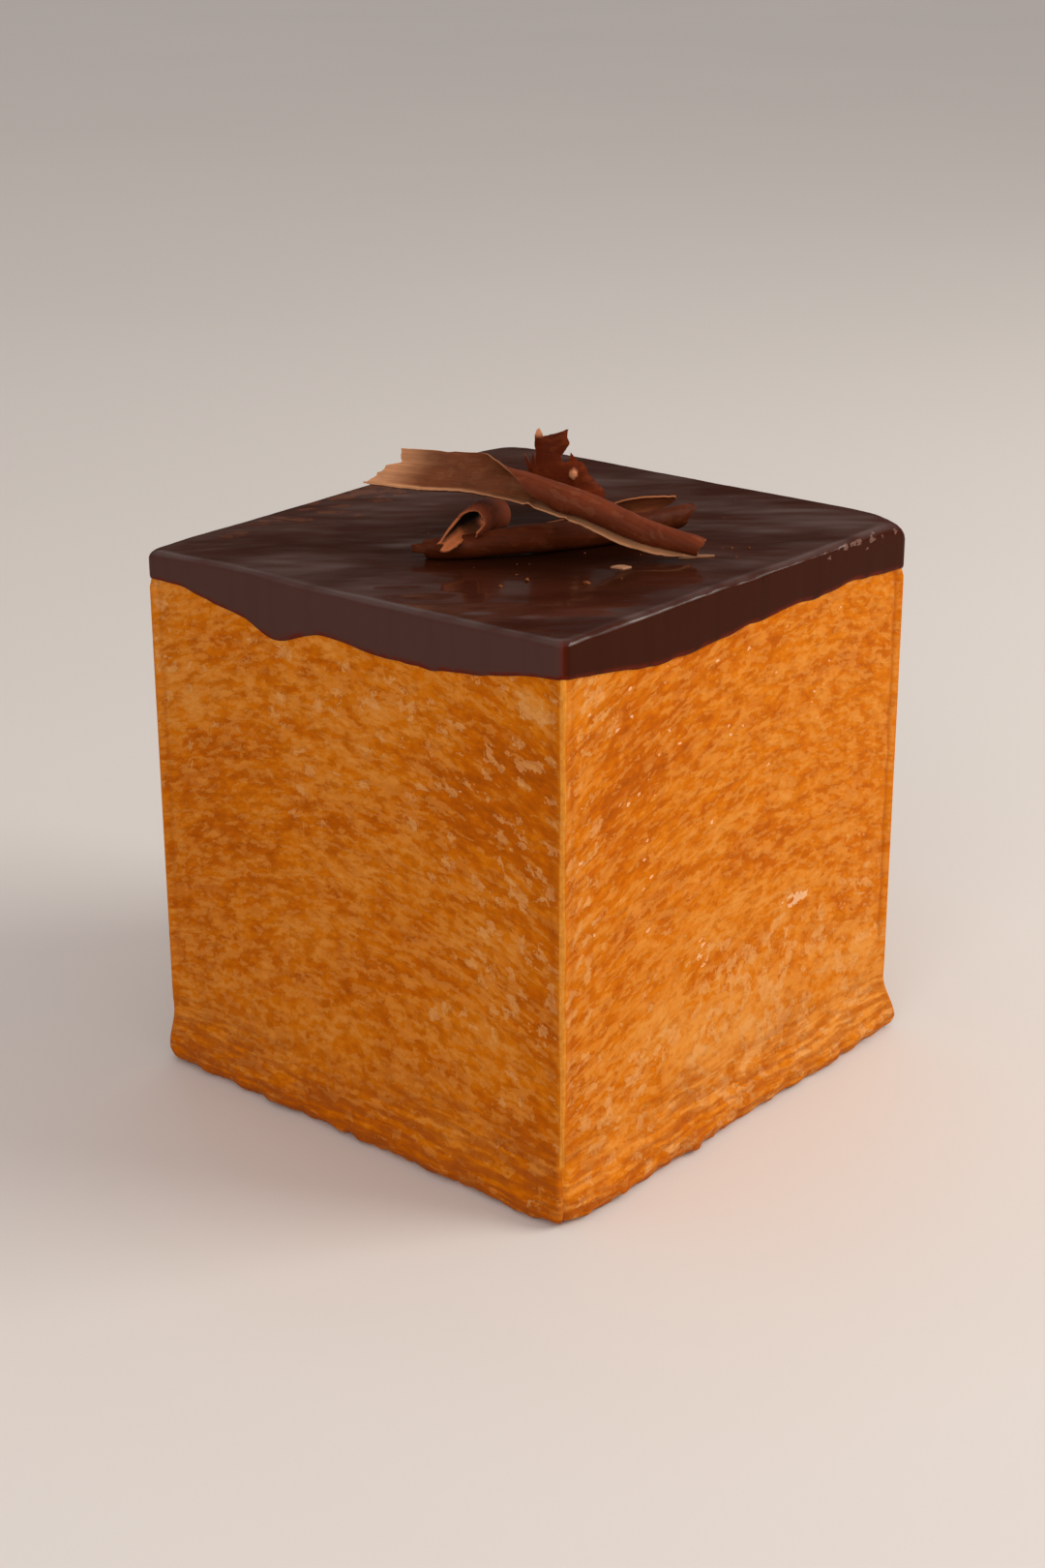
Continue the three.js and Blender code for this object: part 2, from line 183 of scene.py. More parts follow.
def finish_piece(piece: bpy.types.Object, material: bpy.types.Material, slot: str, *nodes: str) -> None:
    """Dresses a piece and ties it to the frame.

    Args:
        piece: The piece.
        material: Its material.
        slot: A material slot's name; not used.
        nodes: The solids that it stands for.
    """
    piece.data.materials.append(material)
    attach(piece, "root")
    if nodes:
        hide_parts(*nodes)
    log.info("%s: %d faces", piece.name, len(piece.data.polygons))


# ---------------------------------------------------------------- shader tools


class Nodes:
    """Adds nodes to one shader tree and wires them up."""

    def __init__(self, tree: bpy.types.NodeTree) -> None:
        """Keeps the tree that the nodes go into."""
        self.tree = tree

    def add(self, kind: str, inputs: dict | None = None, **settings: object) -> bpy.types.Node:
        """Adds a node.

        Args:
            kind: The node's type.
            inputs: What feeds its sockets, by name or number: other sockets or constants.
            settings: The node's own settings.

        Returns:
            The new node.
        """
        node = self.tree.nodes.new(kind)
        for key, value in settings.items():
            setattr(node, key, value)
        for key, value in (inputs or {}).items():
            self.feed(node.inputs[key], value)
        return node

    def feed(self, socket: bpy.types.NodeSocket, value: object) -> None:
        """Links a socket to another one, or sets its constant."""
        if isinstance(value, bpy.types.NodeSocket):
            self.tree.links.new(value, socket)
        elif socket.type == "RGBA":
            socket.default_value = (*value, 1.0)
        else:
            socket.default_value = value

    def math(self, operation: str, *values: object) -> bpy.types.NodeSocket:
        """Adds a Math node and returns its result."""
        return self.add("ShaderNodeMath", dict(enumerate(values)), operation=operation).outputs[0]

    def total(self, base: float, *terms: tuple[object, float]) -> bpy.types.NodeSocket:
        """Adds values up.

        Args:
            base: A number to start from.
            terms: Each value with its weight.

        Returns:
            The sum.
        """
        for value, weight in terms:
            base = self.math("MULTIPLY_ADD", value, weight, base)
        return base

    def vector(self, operation: str, a: object, b: object) -> bpy.types.NodeSocket:
        """Adds a Vector Math node and returns its vector."""
        return self.add("ShaderNodeVectorMath", {0: a, 1: b}, operation=operation).outputs[0]

    def mix(self, share: object, a: object, b: object, blend: str = "MIX") -> bpy.types.NodeSocket:
        """Mixes two colours and returns the result.

        Args:
            share: How much of the second one, 0 to 1.
            a: The first one.
            b: The second one.
            blend: How they are combined.

        Returns:
            The mixed colour.
        """
        inputs = {0: share, 6: a, 7: b}
        node = self.add("ShaderNodeMix", inputs, data_type="RGBA", blend_type=blend, clamp_factor=True)
        return node.outputs[2]

    def tint(self, colour: object, mask: object, strength: float, laid: Colour) -> bpy.types.NodeSocket:
        """Lays a colour over another where the mask is, by `strength` at most, and returns the result."""
        return self.mix(self.math("MULTIPLY", mask, strength), colour, laid)

    def blend(self, share: object, a: object, b: object) -> bpy.types.NodeSocket:
        """Mixes two numbers and returns the result."""
        return self.add("ShaderNodeMix", {0: share, 2: a, 3: b}, data_type="FLOAT").outputs[0]

    def between(self, value: object, low: object, high: object) -> bpy.types.NodeSocket:
        """Rises smoothly from 0 where the value is `low` to 1 where it is `high`."""
        inputs = {"Value": value, "From Min": low, "From Max": high}
        return self.add("ShaderNodeMapRange", inputs, interpolation_type="SMOOTHSTEP").outputs[0]

    def noise(self, place: object, detail: float, roughness: object = 0.5) -> bpy.types.NodeSocket:
        """Adds noise with one swell to each unit of `place` and returns its value."""
        inputs = {"Vector": place, "Scale": 1.0, "Detail": detail, "Roughness": roughness}
        return self.add("ShaderNodeTexNoise", inputs).outputs[0]

    def ramp(self, value: object, stops: list[tuple[float, Colour]]) -> bpy.types.NodeSocket:
        """Turns a value into a colour.

        Args:
            value: The value, 0 to 1.
            stops: Where each colour lies.

        Returns:
            The colour socket.
        """
        node = self.add("ShaderNodeValToRGB", {0: value})
        elements = node.color_ramp.elements
        while len(elements) < len(stops):
            elements.new(1.0)
        for element, (place, colour) in zip(elements, stops):
            element.position = place
            element.color = (*colour, 1.0)
        return node.outputs[0]

    def carried(self, name: str) -> list[bpy.types.NodeSocket]:
        """Reads a vector that the mesh carries and returns it with its three parts.

        Args:
            name: The vector's name.

        Returns:
            The vector, then its x, y and z.
        """
        vector = self.add("ShaderNodeAttribute", attribute_name=name).outputs["Vector"]
        parts = self.add("ShaderNodeSeparateXYZ", {0: vector}).outputs
        return [vector, *parts]

    def millimetres(self) -> bpy.types.NodeSocket:
        """The place on the piece, in millimetres."""
        place = self.add("ShaderNodeTexCoord").outputs["Object"]
        return self.vector("MULTIPLY", place, (1 / MM,) * 3)

    def scaled(self, vector: object, scale: object) -> bpy.types.NodeSocket:
        """Scales a vector by a value and returns it."""
        return self.add("ShaderNodeVectorMath", {0: vector, "Scale": scale}, operation="SCALE").outputs[0]

    def raise_surface(self, shader: bpy.types.Node, height: object, relief: float) -> None:
        """Feeds the shader's normal from a height whose unit is `relief` millimetres."""
        bump = self.add("ShaderNodeBump", {"Height": height, "Strength": 1.0, "Distance": relief * MM})
        self.feed(shader.inputs["Normal"], bump.outputs[0])

    def place_group(self, group: bpy.types.NodeTree, **inputs: object) -> bpy.types.NodeSocket:
        """Places a node group and returns its first output.

        Args:
            group: The group.
            inputs: What feeds its inputs, by name.

        Returns:
            Its first output.
        """
        node = self.add("ShaderNodeGroup", node_tree=group)
        for key, value in inputs.items():
            self.feed(node.inputs[key], value)
        return node.outputs[0]


SOCKET_KINDS = {"Place": "NodeSocketVector"}


def new_group(name: str, inputs: dict[str, object], output: str) -> tuple[Nodes, dict, bpy.types.NodeSocket]:
    """Starts a shader node group.

    Args:
        name: The group's name.
        inputs: Its inputs with their defaults; Place is a vector in millimetres, the rest numbers.
        output: The name of its one output.

    Returns:
        The group's nodes, its input sockets by name, and the socket to feed with the result.
    """
    tree = bpy.data.node_groups.new(name, "ShaderNodeTree")
    for label, default in inputs.items():
        kind = SOCKET_KINDS.get(label, "NodeSocketFloat")
        socket = tree.interface.new_socket(name=label, in_out="INPUT", socket_type=kind)
        if default is not None:
            socket.default_value = default
    tree.interface.new_socket(name=output, in_out="OUTPUT", socket_type="NodeSocketFloat")
    nodes = Nodes(tree)
    entry = nodes.add("NodeGroupInput").outputs
    result = nodes.add("NodeGroupOutput").inputs[0]
    return nodes, {label: entry[label] for label in inputs}, result


def streak_group() -> bpy.types.NodeTree:
    """Long soft streaks that wander a little, for dough layers, brush strokes and scraper marks.

    Returns:
        The group.
    """
    sizes = {"Place": None, "Length": 5.0, "Width": 1.0, "Wander": 1.0, "Seed": 0.0}
    nodes, given, result = new_group("Streaks", sizes, "Value")
    slow = nodes.vector("MULTIPLY", given["Place"], (0.09, 0.09, 1.0))
    sway = nodes.math("MULTIPLY", nodes.math("SUBTRACT", nodes.noise(slow, 2.0), 0.5), 2.0)
    x, y, z = nodes.add("ShaderNodeSeparateXYZ", {0: given["Place"]}).outputs
    across = nodes.math("ADD", y, nodes.math("MULTIPLY", sway, given["Wander"]))
    streak_place = nodes.add(
        "ShaderNodeCombineXYZ",
        {
            0: nodes.math("DIVIDE", x, given["Length"]),
            1: nodes.math("DIVIDE", across, given["Width"]),
            2: nodes.math("ADD", z, given["Seed"]),
        },
    ).outputs[0]
    nodes.feed(result, nodes.noise(streak_place, 3.0, 0.55))
    return nodes.tree


def flake_group() -> bpy.types.NodeTree:
    """Ragged flakes with clear edges, for flaky crust, bloom and thin spots.

    Returns:
        The group.
    """
    sizes = {"Place": None, "Length": 2.0, "Width": 1.0, "Ragged": 1.0, "Cover": 0.3, "Seed": 0.0}
    nodes, given, result = new_group("Flakes", sizes, "Mask")
    fine = nodes.add(
        "ShaderNodeTexNoise", {"Vector": given["Place"], "Scale": 0.9, "Detail": 3.0, "Roughness": 0.7}
    )
    torn = nodes.vector("SUBTRACT", fine.outputs[1], (0.5, 0.5, 0.5))
    torn = nodes.scaled(torn, given["Ragged"])
    x, y, z = nodes.add("ShaderNodeSeparateXYZ", {0: nodes.vector("ADD", given["Place"], torn)}).outputs
    flake_place = nodes.add(
        "ShaderNodeCombineXYZ",
        {
            0: nodes.math("ADD", nodes.math("DIVIDE", x, given["Length"]), given["Seed"]),
            1: nodes.math("DIVIDE", y, given["Width"]),
            2: z,
        },
    ).outputs[0]
    cells = nodes.add("ShaderNodeTexVoronoi", {"Vector": flake_place, "Scale": 1.0}, voronoi_dimensions="3D")
    lot = nodes.add("ShaderNodeSeparateColor", {0: cells.outputs["Color"]}).outputs[0]
    nodes.feed(result, nodes.math("LESS_THAN", lot, given["Cover"]))
    return nodes.tree


def speck_group() -> bpy.types.NodeTree:
    """Small round specks, for pores, bubbles and dust.

    Returns:
        The group.
    """
    sizes = {"Place": None, "Spacing": 3.0, "Radius": 0.3, "Share": 0.4}
    nodes, given, result = new_group("Specks", sizes, "Mask")
    spread = nodes.scaled(given["Place"], nodes.math("DIVIDE", 1.0, given["Spacing"]))
    cells = nodes.add("ShaderNodeTexVoronoi", {"Vector": spread, "Scale": 1.0})
    radius = nodes.math("DIVIDE", given["Radius"], given["Spacing"])
    inside = nodes.math("SUBTRACT", 1.0, nodes.between(cells.outputs["Distance"], 0.0, radius))
    red = nodes.add("ShaderNodeSeparateColor", {0: cells.outputs["Color"]}).outputs[0]
    nodes.feed(result, nodes.math("MULTIPLY", inside, nodes.math("LESS_THAN", red, given["Share"])))
    return nodes.tree


@dataclass(frozen=True)
class Effects:
    """The node groups that the finishes share."""

    streaks: bpy.types.NodeTree = field(default_factory=streak_group)
    flakes: bpy.types.NodeTree = field(default_factory=flake_group)
    specks: bpy.types.NodeTree = field(default_factory=speck_group)


class Layer:
    """One layer of a shared effect. Its fields are the group's inputs, sizes in millimetres."""

    EFFECT = ""

    def lay(self, nodes: Nodes, effects: Effects, place: object, **more: object) -> bpy.types.NodeSocket:
        """Places the layer in a material.

        Args:
            nodes: The material's nodes.
            effects: The shared node groups.
            place: The place on the surface, in millimetres.
            more: The group's other inputs.

        Returns:
            The layer's value or mask.
        """
        sizes = {size.name.title(): getattr(self, size.name) for size in fields(self)}
        return nodes.place_group(getattr(effects, self.EFFECT), Place=place, **sizes, **more)


@dataclass(frozen=True)
class Streaks(Layer):
    """Streaks, and the number that picks their pattern."""

    EFFECT = "streaks"
    length: float
    width: float
    wander: float
    seed: float


@dataclass(frozen=True)
class Flakes(Layer):
    """Flakes, and the number that picks their pattern. Cover is given where they are laid."""

    EFFECT = "flakes"
    length: float
    width: float
    ragged: float
    seed: float


@dataclass(frozen=True)
class Specks(Layer):
    """Round specks, and the share of their cells that have one."""

    EFFECT = "specks"
    spacing: float
    radius: float
    share: float


def new_material(name: str, **constants: object) -> tuple[Nodes, bpy.types.Node, bpy.types.Material]:
    """Starts a material on one Principled shader.

    Args:
        name: The material's name.
        constants: Values for the shader's own sockets, with _ for the spaces in their names.

    Returns:
        Its nodes, the shader and the material.
    """
    material = bpy.data.materials.new(name)
    material.use_nodes = True
    nodes = Nodes(material.node_tree)
    shader = material.node_tree.nodes["Principled BSDF"]
    for key, value in constants.items():
        shader.inputs[key.replace("_", " ")].default_value = value
    return nodes, shader, material


# ---------------------------------------------------------------- finishes


@dataclass(frozen=True)
class CrustFinish:
    """Baked, buttery crust: fine mottling along the dough layers, pale flakes, browner zones, and painted
    glints and wet highlights.
    """

    scorched: Colour = srgb(160, 74, 4)
    brown: Colour = srgb(184, 90, 2)
    golden: Colour = srgb(200, 109, 8)
    tan: Colour = srgb(213, 139, 60)
    flake: Colour = srgb(214, 152, 88)
    bead: Colour = srgb(198, 108, 12)
    # Painted highlight along the upright edges, over the bead.
    edge: Colour = srgb(230, 158, 66)
    # Darker line in the groove beside the bead: painted shade in the recess.
    groove: Colour = srgb(156, 72, 12)
    lip: Colour = srgb(146, 72, 26)
    # Painted glint: a pale colour that stands in for highlights on the buttery crust.
    glint: Colour = srgb(244, 200, 156)
    relief: float = 0.1
    bands: Streaks = Streaks(24.0, 8.0, 4.0, 3.0)
    mottling: Streaks = Streaks(4.2, 2.2, 1.2, 0.0)
    foot_layers: Streaks = Streaks(9.0, 0.9, 0.8, 11.0)
    fine_grain: Streaks = Streaks(1.5, 0.8, 0.4, 17.0)
    wide_flakes: Flakes = Flakes(2.8, 1.2, 2.4, 23.0)
    small_flakes: Flakes = Flakes(1.8, 0.6, 1.4, 27.0)
    dark_flakes: Flakes = Flakes(2.2, 0.8, 1.4, 37.0)
    pale_shreds: Flakes = Flakes(1.8, 1.3, 2.6, 31.0)
    # Flakes of painted glint, and the painted wet highlights.
    glints: Flakes = Flakes(0.6, 0.4, 1.0, 43.0)
    wet_spots: Flakes = Flakes(1.6, 0.7, 2.4, 41.0)
    pores: Specks = Specks(5.0, 0.42, 0.2)

    def material(self, effects: Effects) -> bpy.types.Material:
        """Builds the crust's material.

        Args:
            effects: The shared node groups.

        Returns:
            The material. It reads the vectors `grain`, `bake` and `trim` from the mesh.
        """
        nodes, shader, material = new_material("baked_crust", Specular_IOR_Level=0.02)
        grain, _, _, _ = nodes.carried("grain")
        _, browned, paled, glint_share = nodes.carried("bake")
        _, bead, groove, foot = nodes.carried("trim")

        def streaks(sizes: Streaks) -> bpy.types.NodeSocket:
            """Lays streaks along the dough."""
            return sizes.lay(nodes, effects, grain)

        def flakes(sizes: Flakes, base: float, *terms: tuple[object, float]) -> bpy.types.NodeSocket:
            """Lays flakes along the dough that cover `base` and the weighted terms."""
            return sizes.lay(nodes, effects, grain, Cover=nodes.total(base, *terms))

        bands, fine, mottling = streaks(self.bands), streaks(self.fine_grain), streaks(self.mottling)
        layers = nodes.blend(foot, mottling, streaks(self.foot_layers))
        tone = nodes.total(-0.46, (bands, 0.7), (layers, 0.72), (fine, 0.6), (browned, -0.26), (paled, 0.18))
        stops = [(0.2, self.scorched), (0.42, self.brown), (0.62, self.golden), (0.9, self.tan)]
        colour = nodes.ramp(tone, stops)

        clear = nodes.total(0.0, (paled, 0.16), (browned, -0.34), (mottling, 1.0))
        wide = flakes(self.wide_flakes, -0.2, (clear, 1.0))
        small = flakes(self.small_flakes, -0.14, (clear, 1.0))
        dark = flakes(self.dark_flakes, 0.7, (clear, -1.0))
        shreds = flakes(self.pale_shreds, 0.0, (paled, 0.4))
        pores = self.pores.lay(nodes, effects, grain)
        # Painted highlights: small glints and two wet streaks, laid where the glint patches are.
        glints = flakes(self.glints, 0.0, (glint_share, 0.007))
        wet_highlight = flakes(self.wet_spots, 0.0, (nodes.between(glint_share, 0.85, 1.0), 0.6))
        painted_shine = nodes.math("MAXIMUM", glints, wet_highlight)
        lipped = nodes.math("MULTIPLY", foot, nodes.between(layers, 0.6, 0.42))
        # Painted highlight along the upright edges: a broken bright line on the bead.
        crisp = nodes.math("MULTIPLY", nodes.between(bead, 0.94, 1.0), fine)
        for mask, strength, laid in (
            (dark, 0.26, self.scorched),
            (wide, 0.24, self.tan),
            (small, 0.4, self.tan),
            (nodes.math("MULTIPLY", shreds, fine), 1.05, self.flake),
            (pores, 0.6, self.scorched),
            # painted highlights
            (painted_shine, 0.55, self.glint),
            (lipped, 0.45, self.lip),
            (nodes.math("MULTIPLY", bead, mottling), 1.1, self.bead),
            # painted edge highlight
            (crisp, 1.0, self.edge),
            # painted shade in the groove
            (groove, 0.6, self.groove),
        ):
            colour = nodes.tint(colour, mask, strength, laid)
        nodes.feed(shader.inputs["Base Color"], colour)
        nodes.feed(shader.inputs["Roughness"], nodes.total(0.34, (shreds, 0.16), (fine, 0.2), (painted_shine, -0.2)))

        height = nodes.total(
            0.0,
            (layers, 0.6),
            (fine, 0.4),
            (wide, 0.25),
            (small, 0.3),
            (shreds, 0.4),
            (dark, -0.3),
            (pores, -0.6),
        )
        nodes.raise_surface(shader, height, self.relief)
        return material


@dataclass(frozen=True)
class GlazeFinish:
    """Set dark chocolate glaze: glossy, softly brushed, reddish where it is thin."""

    body: Colour = srgb(50, 19, 8)
    milky: Colour = srgb(68, 31, 19)
    # Painted reflection: a greyish sheen laid on the skirt, fullest on the left wall.
    veil: Colour = srgb(76, 50, 45)
    # Painted shade: the glaze top darkened round the heap.
    deep: Colour = srgb(28, 10, 4)
    thin: Colour = srgb(92, 26, 12)
    bare: Colour = srgb(128, 66, 26)
    speck: Colour = srgb(150, 96, 66)
    # Painted highlight: whitish blobs on the right skirt's upper edge.
    painted_light: Colour = srgb(146, 112, 100)
    brush_turn: float = -40.0
    relief: float = 0.06
    brush_strokes: Streaks = Streaks(9.0, 1.6, 4.0, 2.0)
    worn_spots: Flakes = Flakes(3.0, 1.4, 2.0, 5.0)
    # Flakes of the painted highlight.
    pale_smears: Flakes = Flakes(2.2, 1.1, 2.4, 7.0)
    dust: Specks = Specks(4.5, 0.26, 0.2)
    cloud_scale: tuple[float, float, float] = (0.05, 0.12, 0.1)
    run_scale: tuple[float, float, float] = (0.45, 0.45, 0.05)

    def material(self, effects: Effects) -> bpy.types.Material:
        """Builds the glaze's material.

        Args:
            effects: The shared node groups.

        Returns:
            The material. It reads the vector `film`, and the vector of painted reflection, highlight and
            shade, from the mesh.
        """
        nodes, shader, material = new_material(
            "dark_chocolate_glaze", Specular_IOR_Level=0.02, Coat_Roughness=0.09, Coat_IOR=1.4
        )
        _, thin, bare, skirt = nodes.carried("film")
        # Painted reflection, painted highlight and painted shade, as the mesh carries them.
        _, reflection_cover, highlight_cover, painted_shade = nodes.carried("painted_light")
        on_top = nodes.math("SUBTRACT", 1.0, skirt)
        glossy = nodes.between(skirt, 0.98, 0.8)
        place = nodes.millimetres()
        turned = nodes.add(
            "ShaderNodeVectorRotate",
            {"Vector": place, "Angle": math.radians(self.brush_turn)},
            rotation_type="Z_AXIS",
        ).outputs[0]
        brushed = self.brush_strokes.lay(nodes, effects, turned)
        clouds = nodes.noise(nodes.vector("MULTIPLY", turned, self.cloud_scale), 3.0)
        runs = nodes.noise(nodes.vector("MULTIPLY", place, self.run_scale), 3.0)
        worn = self.worn_spots.lay(nodes, effects, turned, Cover=bare)
        painted_highlights = self.pale_smears.lay(nodes, effects, place, Cover=highlight_cover)
        specks = self.dust.lay(nodes, effects, place)

        gloss = nodes.between(clouds, 0.36, 0.66)
        milky = nodes.blend(skirt, gloss, nodes.math("MULTIPLY", runs, 0.4))
        patchy = nodes.math("MULTIPLY", thin, nodes.between(runs, 0.3, 0.6))
        # Painted reflection on the skirt, a little uneven.
        reflection_share = nodes.math("MULTIPLY", reflection_cover, nodes.total(0.75, (runs, 0.5)))
        colour = nodes.tint(self.body, milky, 0.7, self.milky)
        for mask, strength, laid in (
            # painted reflection on the skirt
            (reflection_share, 1.0, self.veil),
            # painted shade round the heap
            (painted_shade, 0.85, self.deep),
            # painted highlights on the skirt's upper edge
            (painted_highlights, 0.42, self.painted_light),
            (patchy, 1.0, self.thin),
            (worn, 0.3, self.bare),
            (specks, 0.45, self.speck),
        ):
            colour = nodes.tint(colour, mask, strength, laid)
        nodes.feed(shader.inputs["Base Color"], colour)

        brushed_top = nodes.math("MULTIPLY", brushed, on_top)
        skirt_runs = nodes.math("MULTIPLY", runs, skirt)
        rough = nodes.total(0.1, (brushed_top, 0.2), (skirt, 0.12), (skirt_runs, 0.2))
        nodes.feed(shader.inputs["Roughness"], rough)
        # The coat is thinned too where the shade round the heap is painted.
        sheen = nodes.math("MULTIPLY", nodes.total(0.15, (gloss, 0.75)), nodes.total(1.0, (painted_shade, -0.75)))
        nodes.feed(shader.inputs["Coat Weight"], nodes.math("MULTIPLY", glossy, sheen))

        waves = nodes.math("MULTIPLY", clouds, on_top)
        height = nodes.total(0.0, (brushed_top, 1.3), (waves, 5.0), (specks, 0.8), (runs, 0.8))
        nodes.raise_surface(shader, height, self.relief)
        return material


@dataclass(frozen=True)
class ShavedFinish:
    """Shaved chocolate: a smooth outer face, another inner face and a broken rim."""

    name: str
    outer: Colour
    inner: Colour
    rim: Colour
    tip: Colour
    roughness: float = 0.5
    relief: float = 0.05
    blade_marks: Streaks = Streaks(14.0, 0.5, 0.4, 1.0)
    cloudy: Streaks = Streaks(5.0, 3.0, 2.0, 9.0)
    bloom: Flakes = Flakes(1.3, 0.6, 1.0, 14.0)
    bloom_cover: float = 0.16

    def material(self, effects: Effects) -> bpy.types.Material:
        """Builds the material.

        Args:
            effects: The shared node groups.

        Returns:
            The material. It reads the vectors `sheet` and `fade` from the mesh.
        """
        nodes, shader, material = new_material(self.name, Specular_IOR_Level=0.05)
        sheet, _, _, _ = nodes.carried("sheet")
        _, side, rim, tip = nodes.carried("fade")
        marks = self.blade_marks.lay(nodes, effects, sheet)
        clouds = self.cloudy.lay(nodes, effects, sheet)
        bloom = self.bloom.lay(nodes, effects, sheet, Cover=self.bloom_cover)
        colour = nodes.mix(side, self.outer, nodes.mix(tip, self.inner, self.tip))
        level = nodes.total(0.15, (marks, 0.8), (clouds, 0.9))
        grey = nodes.add("ShaderNodeCombineColor", {0: level, 1: level, 2: level}).outputs[0]
        colour = nodes.mix(1.0, colour, grey, "MULTIPLY")
        colour = nodes.tint(colour, bloom, 0.06, self.rim)
        colour = nodes.mix(nodes.math("MULTIPLY", rim, nodes.total(0.4, (tip, 0.6))), colour, self.rim)
        nodes.feed(shader.inputs["Base Color"], colour)
        rough = nodes.total(self.roughness - 0.08, (marks, 0.16), (rim, 0.25))
        nodes.feed(shader.inputs["Roughness"], rough)
        nodes.raise_surface(shader, nodes.total(0.0, (marks, 1.0), (clouds, 0.8)), self.relief)
        return material


# ---------------------------------------------------------------- the square outline


@dataclass(frozen=True)
class Drip:
    """A swell of the glaze's lower edge: where along its wall, how deep and how wide."""

    at: float
    deep: float
    wide: float


class Zone(Enum):
    """What a patch of the crust is: browner, flakier and paler, or dotted with painted glints and wet
    highlights.
    """

    BROWN = 0
    PALE = 1
    # Patches of painted glints and wet highlights.
    MOTTLED = 2


@dataclass(frozen=True)
class Patch:
    """A soft patch of one wall: its middle, its reach along and up, and how strong it is."""

    zone: Zone
    along: float
    z: float
    wide: float
    high: float
    amount: float


@dataclass(frozen=True)
class Corner:
    """One corner: how far the lip flares, the skirt's depth, and the foot's and the glaze's rounding."""

    lip_out: float
    skirt_depth: float
    foot_radius: float
    top_rounding: float


@dataclass(frozen=True)
class Wall:
    """One wall, given as if it looked along -Y and then turned by `turn` degrees.

    `corner` is the one where it starts, and `crest` is where the dough's layers arch highest.
    """

    turn: float
    half: float
    across: float
    corner: Corner
    crest: float
    drips: tuple[Drip, ...]
    patches: tuple[Patch, ...]


